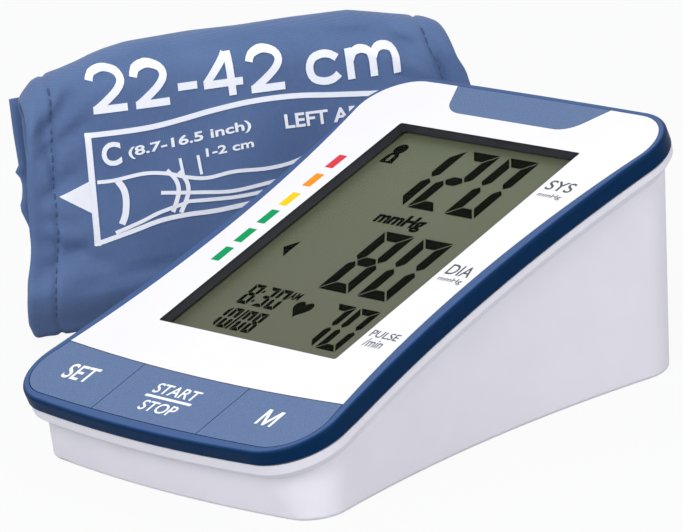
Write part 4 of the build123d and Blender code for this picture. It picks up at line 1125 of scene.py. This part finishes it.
@dataclass
class RolledCuff(Part):
    """The arm cuff: one long padded band rolled flat, standing on its fold, with its print on the front run.

    v runs along the roll from its middle, q from front to back and z up, in millimetres. The stiff roll has
    straight runs and round bends; the settled one slumps as cloth does."""

    centre: Flat = (-112.0, 60.3)
    heading_deg: float = 61.3
    width: float = 142.0
    run: float = 59.0
    pitch: float = 4.4
    turns: int = 6
    thick: float = 3.6

    # the band across its width, measured in from its ends
    edge: float = 2.2                           # rounding of the long edges
    thinnest: float = 0.02                      # share of the thickness that is left at the very end
    hem: Hump = Hump(0.35, 3.5, 3.0)            # thinner where no bladder lies
    seam: Hump = Hump(0.75, 8.6, 0.9)           # drawn in at the stitch line
    end_stations: tuple[float, ...] = (
        0.0, 0.15, 0.5, 1.0, 1.6, 2.4, 3.6, 5.0, 6.4, 7.4, 8.0, 8.6, 9.2, 9.8, 11.0, 12.6,
    )
    middle_from: float = 14.6
    middle_stations: int = 58
    closing: tuple[float, float] = (0.25, 0.8)  # shares of it at the last two stations of the strip

    # outline of the settled cuff: height and end of a run, and place and height of the top
    front_left: tuple[Flat, ...] = (
        (0.0, -73.5), (4.4, -74.5), (6.5, -75.0), (12.0, -75.1), (16.7, -75.0), (21.0, -74.2), (27.4, -72.3),
        (33.0, -71.2), (39.8, -70.9), (47.7, -70.5), (57.0, -69.8), (80.0, -66.9), (88.0, -66.0),
    )
    back_left: tuple[Flat, ...] = (
        (0.0, -71.0), (24.0, -67.4), (30.5, -67.0), (33.0, -67.6), (38.3, -69.3), (42.0, -67.9),
        (47.0, -67.4), (49.6, -69.2), (51.5, -67.8), (63.0, -68.1), (73.0, -68.0),
    )
    right: tuple[Flat, ...] = (
        (0.0, 71.0), (20.0, 72.5), (55.5, 72.3), (62.0, 71.4), (70.0, 70.0), (75.0, 67.6), (88.0, 65.0),
    )
    top: tuple[Flat, ...] = (
        (-75.0, 74.0), (-68.0, 75.5), (-65.5, 77.5), (-62.3, 81.0), (-59.0, 82.0), (-53.3, 83.0),
        (-47.4, 84.6), (-43.3, 86.0), (-39.0, 87.0), (-32.0, 88.0), (-12.0, 88.0), (3.0, 87.2),
        (20.0, 86.8), (38.0, 86.0), (44.0, 84.5), (62.0, 80.0), (68.0, 76.5), (75.0, 74.0),
    )
    slack_from: float = 35.0                    # the roll keeps its height below this level
    inner_inset: float = 3.4                    # how far the inner runs' ends lie in from the left edge
    ragged_left: float = 0.7                    # how unevenly they end there, and at the right
    ragged_right: float = 0.6
    left_phase: float = 2.1                     # how fast that changes from run to run
    right_phase: float = 1.7
    inner_until: float = 4.6                    # run number where the inner runs go over into the front one

    # how the settled cuff stands
    belly: float = 1.6                          # swelling of the front
    belly_back: float = 0.4                     # and of the back, as a share of it
    belly_half: float = 78.0                    # it fades out at this distance from the middle
    belly_levels: tuple[float, float] = (6.0, 90.0)     # and at these heights
    foot: Hump = Hump(4.4, 5.0, 5.5)            # the front draws back over its fold at the foot
    knee: Hump = Hump(1.7, 17.5, 3.2)           # and stands out above that
    front_depth: float = 12.8                   # distance in front of the middle where both are full
    wave: float = 0.34                          # depth of the front's broad waves
    wave_level: float = 0.1                     # how far the whole front lies in with them
    wave_bend: float = 1.3                      # how much they wander
    wave_mm: tuple[float, float, float, float] = (9.0, 17.0, 13.0, 31.0)
    ripple: Hump = Hump(0.12, 82.0, 6.0)        # fine ripples along the top edge
    ripple_mm: tuple[float, float] = (3.7, 5.1)
    # shares of a crease's length: where it is deepest, how far that goes to each side, and how soon it fades
    crease_fade: tuple[float, float, float] = (0.45, 0.3, 0.25)
    # soft creases: ends of the line in v and z, depth, width
    creases: tuple[tuple[float, float, float, float, float, float], ...] = (
        (-63.0, 66.0, -50.0, 79.0, 3.12, 2.3), (-64.0, 60.0, -49.0, 68.5, 2.4, 2.2),
        (-66.0, 33.0, -47.0, 22.0, 2.4, 2.4), (-63.0, 74.0, -61.0, 50.0, 1.44, 1.6),
        (-24.0, 84.6, 8.0, 83.6, 1.44, 1.6), (14.0, 83.5, 46.0, 80.0, 1.68, 1.7),
        (34.0, 80.0, 58.0, 74.0, 2.16, 2.2), (46.0, 81.0, 56.0, 69.0, 1.92, 2.0),
        (60.0, 77.0, 63.5, 56.0, 1.92, 2.0), (-46.0, 80.5, -26.0, 85.0, 1.92, 1.8),
        (50.0, 66.0, 61.0, 57.0, 1.44, 2.2), (-65.0, 47.0, -54.0, 54.0, 1.68, 2.0),
        (-67.0, 25.0, -52.0, 30.5, 1.92, 2.0), (-58.0, 17.5, -20.0, 20.5, 2.16, 1.8),
        (-66.0, 40.0, -56.0, 37.0, 1.2, 1.8),
    )

    # what lies on the cloth
    ink_low: float = 0.04                       # the print's underside and top, above the cloth
    ink_high: float = 0.34
    ink_cell: float = 1.6                       # size of its faces, small enough to follow the creases
    stitch: float = 3.0                         # length of a stitch, and where the seams start and end
    stitches_from: float = 9.0
    stitches_to: float = 82.5
    tape_half: float = 53.0                     # half the tapes' length, and their points along and across
    tape_points: tuple[int, int] = (40, 24)
    tape_turn: float = 4.1                      # run whose shape the tapes follow

    @property
    def front_run(self) -> int:
        """Number of the run that shows at the front, the last but one."""
        return self.turns - 1

    @property
    def low(self) -> float:
        """Height of the lower bends' middle."""
        return (2 * self.turns - 1) * self.pitch / 4 + self.thick / 2

    @property
    def high(self) -> float:
        """Height of the upper bends' middle."""
        return self.low + self.run

    @property
    def bend(self) -> float:
        """Outer radius of the bend over the front run."""
        return (2 * self.turns - 3) * self.pitch / 4 + self.thick / 2

    def world(self, v: np.ndarray, q: np.ndarray, z: np.ndarray) -> np.ndarray:
        """Turns roll coordinates into metres.

        Args:
            v: Places along the roll.
            q: Places from front to back.
            z: Heights.

        Returns:
            One point in each row.
        """
        heading = math.radians(self.heading_deg)
        x = self.centre[0] + v * math.cos(heading) - q * math.sin(heading)
        y = self.centre[1] + v * math.sin(heading) + q * math.cos(heading)
        return np.stack([x, y, z], -1) * MM

    def stations(self, step: float = 2.0, bend_step: float = 1.6, fewest: int = 8) -> np.ndarray:
        """Walks along the middle line of the rolled band.

        Args:
            step: Distance between stations on a run.
            bend_step: Distance between stations on a bend.
            fewest: Fewest stations on a bend.

        Returns:
            Rows of q, z, outward q, outward z and the run's number, which passes through each bend in steps.
        """
        rows = []
        for run in range(1, self.turns + 1):
            side = 1 if run % 2 == 0 else -1        # the even runs lie behind and climb
            start, end = (self.low, self.high) if side > 0 else (self.high, self.low)
            for t in np.linspace(0, 1, int(self.run / step), endpoint=run == self.turns):
                rows.append((side * run * self.pitch / 2, start + t * (end - start), side, 0.0, run))
            if run < self.turns:
                centre, radius = -side * self.pitch / 4, (2 * run + 1) * self.pitch / 4
                count = max(fewest, int(math.pi * radius / bend_step))
                for t in np.linspace(0, 1, count, endpoint=False):
                    c, s = side * math.cos(math.pi * t), side * math.sin(math.pi * t)
                    rows.append((centre + radius * c, end + radius * s, c, s, run + t))
        return np.array(rows)

    def padding(self, v: np.ndarray) -> np.ndarray:
        """Gives half the band's thickness across its width, full over the bladder and drawn in at the seams.

        Args:
            v: Places along the roll.

        Returns:
            Half thicknesses.
        """
        inset = self.width / 2 - np.abs(v)
        half = self.thick / 2 - self.hem.at(inset) - self.seam.at(inset)
        rounded = np.sqrt(np.clip(1 - (1 - np.clip(inset / self.edge, 0, 1)) ** 2, 0, 1))
        return half * np.maximum(rounded, self.thinnest)

    def dent(self, v: np.ndarray, z: np.ndarray) -> np.ndarray:
        """Depth of the waves, ripples and soft creases in the front run.

        Args:
            v: Settled places along the roll.
            z: Settled heights.

        Returns:
            How far the cloth sinks.
        """
        a, b, c, d = self.wave_mm
        wander = self.wave_bend * np.sin(z / b)
        total = self.wave * np.sin(v / a + wander) * np.sin(z / c + v / d) + self.wave_level
        total = total + np.sin(v / self.ripple_mm[0] + z / self.ripple_mm[1]) * self.ripple.at(z)
        deepest, keeps, fades = self.crease_fade
        for v0, z0, v1, z1, depth, wide in self.creases:
            run_v, run_z = v1 - v0, z1 - z0
            length = math.hypot(run_v, run_z)
            t = ((v - v0) * run_v + (z - z0) * run_z) / length**2
            off = ((v - v0) * run_z - (z - z0) * run_v) / length
            past = np.clip(np.abs(t - deepest) - keeps, 0, None)
            total = total + Hump(depth, 0.0, wide).at(off) * Hump(1.0, 0.0, fades).at(past)
        return total

    def settle(
        self, v: np.ndarray, q: np.ndarray, z: np.ndarray, turn: np.ndarray
    ) -> tuple[np.ndarray, np.ndarray, np.ndarray]:
        """Lets the stiff roll slump: ragged ends, a bowed top, a swollen front and a fold at the foot.

        Args:
            v: Places along the stiff roll.
            q: Places from front to back.
            z: Heights.
            turn: Run number of each point.

        Returns:
            The settled v, q and z.
        """
        half_depth = self.pitch * self.turns / 2
        behind = np.clip((q + half_depth) / (2 * half_depth), 0, 1)
        front_end, back_end = (np.interp(z, *zip(*line)) for line in (self.front_left, self.back_left))
        ragged = self.inner_inset + self.ragged_left * np.sin(self.left_phase * turn)
        left = (1 - behind) * front_end + behind * back_end + ragged * np.clip(self.inner_until - turn, 0, 1)
        ragged = self.ragged_right * np.sin(self.right_phase * turn)
        right = np.interp(z, *zip(*self.right)) + ragged * np.clip(self.front_run - turn, 0, 1)
        settled_v = left + (v + self.width / 2) / self.width * (right - left)
        reach = self.high + self.bend - self.slack_from
        stretch = (np.interp(settled_v, *zip(*self.top)) - self.slack_from) / reach
        flap = np.clip(turn - self.front_run, 0, 1)         # the last run hangs free and only drops
        stretch = stretch * (1 - flap) + np.minimum(1.0, np.maximum(stretch, 1.0)) * flap
        settled_z = np.where(z > self.slack_from, self.slack_from + (z - self.slack_from) * stretch, z)
        bottom, crest = self.belly_levels
        up = np.clip((settled_z - bottom) / (crest - bottom), 0, 1)
        crown = self.belly * np.clip(1 - (settled_v / self.belly_half) ** 2, 0, 1) * np.sin(np.pi * up)
        swell = np.where(q < 0, 1.0, self.belly_back) * q / half_depth
        fold = (self.foot.at(settled_z) - self.knee.at(settled_z)) * np.clip(-q / self.front_depth, 0, 1)
        front = np.clip(1.5 - np.abs(turn - self.front_run + 0.25) * 2, 0, 1)   # gone past the front's bends
        return settled_v, q + crown * swell + fold + front * self.dent(settled_v, settled_z), settled_z

    def band(self) -> None:
        """Sweeps the padded band along the roll, as one closed mesh."""
        half, ends = self.width / 2, np.array(self.end_stations)
        middle = np.linspace(self.middle_from - half, half - self.middle_from, self.middle_stations)
        v = np.concatenate([-half + ends, middle, (half - ends)[::-1]])
        rows = self.stations()
        taper = np.ones(len(rows))
        taper[[0, -1]], taper[[1, -2]] = self.closing
        sides = []
        for sign in (1, -1):
            offset = sign * self.padding(v)[None, :] * taper[:, None]
            q = rows[:, 0:1] + rows[:, 2:3] * offset
            z = rows[:, 1:2] + rows[:, 3:4] * offset
            turn = np.broadcast_to(rows[:, 4:5], q.shape)
            sides.append(self.world(*self.settle(np.broadcast_to(v, q.shape), q, z, turn)))
        band = plate("cuff_band", *sides, smooth=True)
        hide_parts("cuff_outer_fabric", "cuff_inner_fabric", "cuff_bladder", "cuff_hems")
        self.piece(band, "cuff", "cuff_cloth", "nylon")

    def cloth(self, v: np.ndarray, z: np.ndarray, height: float) -> tuple[np.ndarray, np.ndarray, np.ndarray]:
        """Gives settled places over the front run, from places on the stiff roll.

        Args:
            v: Places along the stiff roll.
            z: Heights on the stiff roll.
            height: Distance off the cloth.

        Returns:
            The settled v, q and z.
        """
        upper, lower = self.bend, self.bend + self.pitch / 2
        reach = 0.98                                        # of a bend, which turns level beyond that
        over = np.clip(z - self.high, 0, upper * reach)
        under = np.clip(self.low - z, 0, lower * reach)
        q = np.where(over > 0, -self.pitch / 4 - np.sqrt(upper**2 - over**2), -self.pitch / 4 - upper)
        q = np.where(under > 0, self.pitch / 4 - np.sqrt(lower**2 - under**2), q)
        turn = np.where(over > 0, self.front_run - 0.5 * over / upper, self.front_run)
        return self.settle(v, q + self.thick / 2 - self.padding(v) - height, z, turn)

    def front(self, v: np.ndarray, z: np.ndarray, height: np.ndarray, rounds: int = 8) -> np.ndarray:
        """Finds the points over the settled front run that lie at v and z.

        Args:
            v: Places along the roll.
            z: Heights above the table.
            height: Distance off the cloth.
            rounds: How often the search closes in.

        Returns:
            The points in metres, one in each row.
        """
        stiff_v, stiff_z = v.astype(float).copy(), z.astype(float).copy()
        for _ in range(rounds):
            got_v, got_q, got_z = self.cloth(stiff_v, stiff_z, height)
            stiff_v += v - got_v
            stiff_z += z - got_z
        return self.world(got_v, got_q, got_z)

    def mark(self, name: str, *flats: bmesh.types.BMesh) -> None:
        """Prints a shape on the front run.

        Args:
            name: Name of the piece.
            *flats: Its flat meshes, which may cross.
        """
        ink = inlay(name, joined(*flats), self.front, self.ink_low, self.ink_high, self.ink_cell)
        self.piece(ink, "cuff", "cuff_cloth", "ink_cuff")

    def prints(self) -> None:
        """Prints the arm size, the frame, the arrow, the words and the fitting picture."""
        self.mark("cuff_print_size", stroked("22-42 cm", (-47.6, 70.8, 50.6, 84.0), 2.3, -3.6))
        self.mark(
            "cuff_print_frame",
            ribbon([(-49.6, 64.8), (-50.9, 29.6)], 1.9, False),
            ribbon([(-50.4, 64.4), (-30.2, 63.8), (-10.2, 65.6), (2.5, 66.3), (14.8, 65.8), (27.3, 64.0),
                    (41.3, 62.0), (58.0, 60.0)], 1.6),
            ribbon([(-51.6, 30.2), (-39.4, 32.6), (-30.8, 34.4), (-22.4, 34.8), (-13.1, 34.4), (0.0, 34.9),
                    (20.0, 36.0)], 1.4),
        )
        self.mark("cuff_print_arrow", outlines([(-60.6, 46.9), (-51.2, 40.0), (-50.8, 50.2)]))
        self.mark("cuff_print_c", lettering("C", (-46.2, 53.8, -40.2, 61.2), 0.03))
        self.mark("cuff_print_inch", lettering("(8.7-16.5 inch)", (-38.0, 54.8, 0.5, 58.6), 0.02, 2.2))
        self.mark("cuff_print_gap", lettering("1-2 cm", (-14.4, 51.6, 0.6, 54.2), 0.02, 0.6))
        self.mark("cuff_print_side", lettering("LEFT ARM", (11.0, 56.2, 40.0, 60.6), 0.02, -1.5))
        self.mark(
            "cuff_print_arm",
            ribbon([(-48.6, 49.5), (-43.5, 49.2), (-34.1, 49.8), (-27.0, 48.6), (-21.0, 46.4), (-14.8, 45.1),
                    (-6.4, 45.6), (4.0, 44.8), (12.5, 45.5), (20.0, 48.0)], 1.1),
            ribbon([(-45.0, 32.8), (-37.1, 34.9), (-30.6, 37.0), (-22.0, 38.6)], 1.1),
            ribbon([(-29.7, 43.0), (-17.5, 41.0), (-7.2, 39.6), (5.6, 40.4), (14.0, 41.2)], 1.1),
            ribbon([(-21.9, 38.9), (-7.4, 37.6), (3.1, 37.8), (10.0, 38.4)], 1.1),
        )
        self.mark(
            "cuff_print_bands",
            ribbon([(-42.4, 48.9), (-40.9, 46.0), (-40.6, 42.4), (-41.4, 38.0), (-42.8, 35.2)], 2.0),
            ribbon([(-27.0, 49.6), (-24.6, 46.0), (-24.4, 42.0), (-26.8, 36.4)], 1.3),
            ribbon([(-23.4, 48.6), (-21.4, 45.0), (-21.6, 41.0), (-24.4, 35.8)], 1.3),
            ribbon([(-22.6, 52.6), (-22.2, 47.4)], 0.9, False),
            ribbon([(-17.0, 52.6), (-16.6, 46.6)], 0.9, False),
        )

    def stitches(self) -> None:
        """Sews both hems with a lock stitch."""
        # a stitch is a thread of four sides: place and half width of its rings, then the corners of one
        rings = ((-1.15, 0.05), (-0.8, 0.26), (0.0, 0.32), (0.8, 0.26), (1.15, 0.05))
        corners = ((-1.0, 0.0), (0.0, 1.0), (1.0, 0.0), (0.0, -0.6))
        sides = len(corners)
        for side, name in ((-1, "left"), (1, "right")):
            line = side * (self.width / 2 - self.seam.middle)
            points, faces = [], []
            for z in np.arange(self.stitches_from, self.stitches_to, self.stitch):
                first = len(points)
                last = first + sides * (len(rings) - 1)
                for along, wide in rings:
                    for across, up in corners:
                        spot = self.cloth(np.array([line + across * wide]), np.array([z + along]), up * wide)
                        points.append(self.world(*spot)[0])
                for ring in range(first, last, sides):
                    for m in range(sides):
                        a, b = ring + m, ring + (m + 1) % sides
                        faces.append((a, b, b + sides, a + sides))
                faces += [range(first + sides - 1, first - 1, -1), range(last, last + sides)]
            seam = mesh_object(f"cuff_stitch_{name}", points, faces, smooth=True)
            self.piece(seam, "cuff", "hem_cloth", "thread")

    def tapes(self) -> None:
        """Lays the hook and loop tapes between the last two layers at the back."""
        heading = math.radians(self.heading_deg)
        across = Vector((-math.sin(heading), math.cos(heading), 0))
        middle = Vector((*self.centre, 0)) * MM
        for node, slot in (("cuff_loop_patch", "loop_tape"), ("cuff_hook_patch", "hook_tape")):
            low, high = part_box(node)
            depths = [(p.co - middle).dot(across) / MM for p in self.frame["nodes"][node].data.vertices]
            v, z = np.meshgrid(np.linspace(-self.tape_half, self.tape_half, self.tape_points[0]),
                               np.linspace(low.z / MM, high.z / MM, self.tape_points[1]), indexing="ij")
            turn = np.full_like(v, self.tape_turn)
            inner, outer = (np.full_like(v, q) for q in (min(depths), max(depths)))
            sides = [self.world(*self.settle(v, q, z, turn)) for q in (inner, outer)]
            tape = plate(node.replace("patch", "tape"), *sides)
            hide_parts(node)
            self.piece(tape, "cuff", slot, slot)

    def build(self) -> None:
        """Rolls the cuff, sews it and prints it."""
        self.dress(cuff_air_port="black_abs")
        self.band()
        self.tapes()
        self.stitches()
        self.prints()


# ---- studio ------------------------------------------------------------------------------------------
@dataclass
class Studio:
    """Camera, pale floor and soft lamps."""

    azimuth_deg: float = 49.308
    elevation_deg: float = 16.533
    roll_deg: float = 6.825
    lens_mm: float = 255.23
    sensor_mm: float = 36.0
    eye_mm: tuple[float, float, float] = (995.32, -858.02, 434.12)
    sight_m: tuple[float, float] = (0.05, 20.0)     # nearest and farthest that the camera sees
    aim_m: tuple[float, float, float] = (0.0, 0.0, 0.04)
    # name, place in metres, side in metres and power in watts
    lamps: tuple[tuple[str, tuple[float, float, float], float, float], ...] = (
        ("key", (-0.9, 0.5, 1.5), 0.8, 4.5),
        ("fill", (0.4, -1.3, 1.2), 0.9, 16.0),
        ("side", (1.5, 0.2, 0.8), 1.0, 7.0),
    )
    sky: str = "#f4f6fb"
    sky_strength: float = 0.62
    floor_half_m: float = 6.0
    floor_drop: float = 0.05
    floor_colours: tuple[str, str] = ("#c6c8cd", "#cacccf")
    floor_white: float = 0.92                   # share of plain white that the camera sees over the shadow
    speckle_mm: float = 333.3

    def camera(self) -> None:
        """Places the camera."""
        a, e, roll = (math.radians(x) for x in (self.azimuth_deg, self.elevation_deg, self.roll_deg))
        right = Vector((math.cos(a), math.sin(a), 0))
        ahead = Vector((-math.sin(a) * math.cos(e), math.cos(a) * math.cos(e), -math.sin(e)))
        up = right.cross(ahead)
        tilted_right = right * math.cos(roll) - up * math.sin(roll)
        tilted_up = right * math.sin(roll) + up * math.cos(roll)
        data = bpy.data.cameras.new("camera")
        data.lens, data.sensor_width = self.lens_mm, self.sensor_mm
        data.clip_start, data.clip_end = self.sight_m
        camera = bpy.data.objects.new("camera", data)
        bpy.context.scene.collection.objects.link(camera)
        turn = Matrix((tilted_right, tilted_up, -ahead)).transposed()
        camera.matrix_world = Matrix.Translation(Vector(self.eye_mm) * MM) @ turn.to_4x4()
        bpy.context.scene.camera = camera

    def light(self) -> None:
        """Hangs the lamps and sets the world, which is plain white to the camera and softer to the object."""
        for name, place, size, power in self.lamps:
            data = bpy.data.lights.new(name, "AREA")
            data.energy, data.size = power, size
            lamp = bpy.data.objects.new(name, data)
            lamp.location = place
            lamp.rotation_mode = "QUATERNION"
            lamp.rotation_quaternion = (Vector(self.aim_m) - Vector(place)).to_track_quat("-Z", "Y")
            bpy.context.scene.collection.objects.link(lamp)
        world = bpy.data.worlds.new("studio")
        world.use_nodes = True
        tree = world.node_tree
        tree.nodes.clear()
        ray = add(tree, "LightPath").outputs
        seen = add(tree, "Math", {0: ray["Is Camera Ray"], 1: ray["Is Glossy Ray"]}, operation="MAXIMUM")
        seen = add(tree, "Math", {0: seen, 1: ray["Is Transmission Ray"]}, operation="MAXIMUM")
        soft = add(tree, "Background", {"Color": linear(self.sky), "Strength": self.sky_strength})
        white = add(tree, "Background", {"Color": linear("#ffffff"), "Strength": 1.0})
        mix = add(tree, "MixShader", {0: seen, 1: soft, 2: white})
        add(tree, "OutputWorld", {0: mix}, is_active_output=True)
        bpy.context.scene.world = world

    def floor(self) -> None:
        """Lays the pale floor, which shows white and keeps a soft shadow."""
        far, level = self.floor_half_m, -self.floor_drop * MM
        corners = [(*corner, level) for corner in rectangle((-far, -far, far, far))]
        floor = mesh_object("floor", corners, [(0, 1, 2, 3)])
        material, tree, place = new_material("pale_floor")
        camera_ray = add(tree, "LightPath").outputs["Is Camera Ray"]
        speckle = add(tree, "TexNoise", {"Vector": place, "Scale": per_mm(self.speckle_mm)})
        colour = add(tree, "ValToRGB", {0: speckle}, stops=tuple(zip((0.3, 0.7), self.floor_colours)))
        plain = add(tree, "BsdfDiffuse", {"Color": colour})
        white = add(tree, "Emission", {"Color": linear("#ffffff"), "Strength": 1.0})
        share = add(tree, "Math", {0: camera_ray, 1: self.floor_white}, operation="MULTIPLY")
        add(tree, "OutputMaterial", {0: add(tree, "MixShader", {0: share, 1: plain, 2: white})})
        coat(floor, material)

    def build(self) -> None:
        """Sets the studio up."""
        self.camera()
        self.light()
        self.floor()
        bpy.context.scene.view_settings.view_transform = "Standard"


# ---- the whole ---------------------------------------------------------------------------------------
def make_finishes(panel: Panel) -> dict[str, bpy.types.Material]:
    """Makes every finish once.

    Args:
        panel: The sloping face, whose direction tells the rim's top from its side.

    Returns:
        The materials by short name.
    """
    blue, edge, navy = "#61769b", "#264675", "#04284b"
    up = tuple(panel.normal)
    glass_span = (-0.040, 0.068)        # front and back of the glass along y, in metres
    heading = RolledCuff.heading_deg
    made = {
        "white_abs": MouldedPlastic("white_abs_moulded_satin", "#e9e6ec", Surface.SATIN, "#e4e1e8"),
        # the rim is navy plastic; its lighter top colour is painted reflection of the sky on the up-facing
        # shoulder
        "rim_abs": PlasticPaintedLightByFacing("rim_abs_top_painted_reflection", "#3d5a8a", edge, navy, up),
        "face_sheet": PrintedSheet("face_polycarbonate_printed", "#eeedf1", "#ebeaef", "#303136", up),
        # the keys' top is their own periwinkle; the darker edge band and navy sides are painted shade, so the
        # gaps read dark
        "blue_abs": PlasticPaintedLightByFacing("key_abs_matt_painted_gap_shade", blue, "#1d3a66", navy, up, 0.5, grain_mm=0.2),
        "dark_abs": MouldedPlastic("bezel_abs_moulded_satin", "#3a3b42", Surface.SATIN, "#34353c"),
        "black_abs": MouldedPlastic("black_abs_moulded_matt", "#1b1c20", Surface.MATT, "#222327"),
        "pump_abs": MouldedPlastic("pump_abs_moulded_satin", "#c9c8c2", Surface.SATIN, "#bdbcb6"),
        "natural_abs": MouldedPlastic("natural_abs_moulded_satin", "#d8d7cf", Surface.SATIN, "#cccbc3"),
        "chip": MouldedPlastic("chip_epoxy_moulded_matt", "#17181a", Surface.MATT, "#202124", clouds_mm=3.0),
        "cell_jacket": MouldedPlastic("cell_jacket_shrunk_gloss", "#2c2f36", Surface.GLOSS, "#373b44"),
        "red_pvc": MouldedPlastic("lead_pvc_extruded_red", "#a82a24", Surface.GLOSS, "#b8332c"),
        "black_pvc": MouldedPlastic("lead_pvc_extruded_black", "#1a1a1c", Surface.GLOSS, "#242427"),
        "ink_red": ScreenInk("ink_screen_printed_red", "#d93c48"),
        "ink_orange": ScreenInk("ink_screen_printed_orange", "#f0951f"),
        "ink_yellow": ScreenInk("ink_screen_printed_yellow", "#f3cf10"),
        "ink_green": ScreenInk("ink_screen_printed_green", "#009a58"),
        "ink_grey": ScreenInk("ink_screen_printed_grey", "#54555c"),
        "ink_white": ScreenInk("ink_pad_printed_white", "#f6f7fb"),
        "ink_cuff": ScreenInk("ink_cloth_printed_white", "#f6f8ff", roughness=0.7),
        "lcd_ink": ScreenInk("lcd_segment_switched_dark", "#10120d", roughness=0.6, specular=0.0),
        "clear_acrylic": ClearAcrylic("lens_acrylic_cast"),
        "lcd_glass": LiquidCrystal("lcd_glass_laminated", "#606051", "#626453", "#656957", *glass_span),
        "nylon": WovenNylon("cuff_nylon_woven", "#5c759f", "#4a618c", heading_deg=heading),
        "thread": WovenNylon("thread_polyester_twisted", "#4a5d87", "#3d4e74", 0.4, heading),
        "loop_tape": PileTape("loop_tape_woven", "#3e4c6c", 0.8),
        "hook_tape": PileTape("hook_tape_moulded", "#33405c", 1.1),
        "steel": Metal("steel_zinc_plated", "#c9cbd0", 0.3),
        "spring_steel": Metal("spring_steel_nickel_plated", "#d8d6d0", 0.22),
        "motor_steel": Metal("motor_can_steel_drawn", "#b9bbc0", 0.34, (16.67, 1.111, 1.111)),
        "valve_metal": Metal("valve_frame_steel_zinc_plated", "#b4b6ba", 0.38),
        "foil": Metal("reflector_foil_rolled", "#d4d6d2", 0.45, (1.111, 16.67, 16.67)),
        "grey_rubber": Rubber("foot_rubber_moulded", "#5b5c61", "#6d6e73"),
        "black_rubber": Rubber("saddle_rubber_moulded", "#202124", "#2f3034"),
        "clear_rubber": Rubber("hose_silicone_extruded", "#c5c8c6", "#d6d8d6"),
        "zebra": Rubber("zebra_strip_layered", "#d9a7ad", "#3a2f33"),
        "laminate": BoardLaminate("board_epoxy_laminate_masked"),
    }
    return {name: finish.material() for name, finish in made.items()}


def main() -> None:
    """Builds the sub-assemblies in order."""
    logging.basicConfig(level=logging.INFO, format="%(name)s: %(message)s", stream=sys.stdout)
    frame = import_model()
    Studio().build()
    finishes = make_finishes(Panel())
    for part in (Housing, Keys, Display, Electronics, PumpUnit, PowerUnit, RolledCuff):
        log.info("building %s", part.__name__)
        part(frame, finishes).build()


if __name__ == "__main__":
    main()
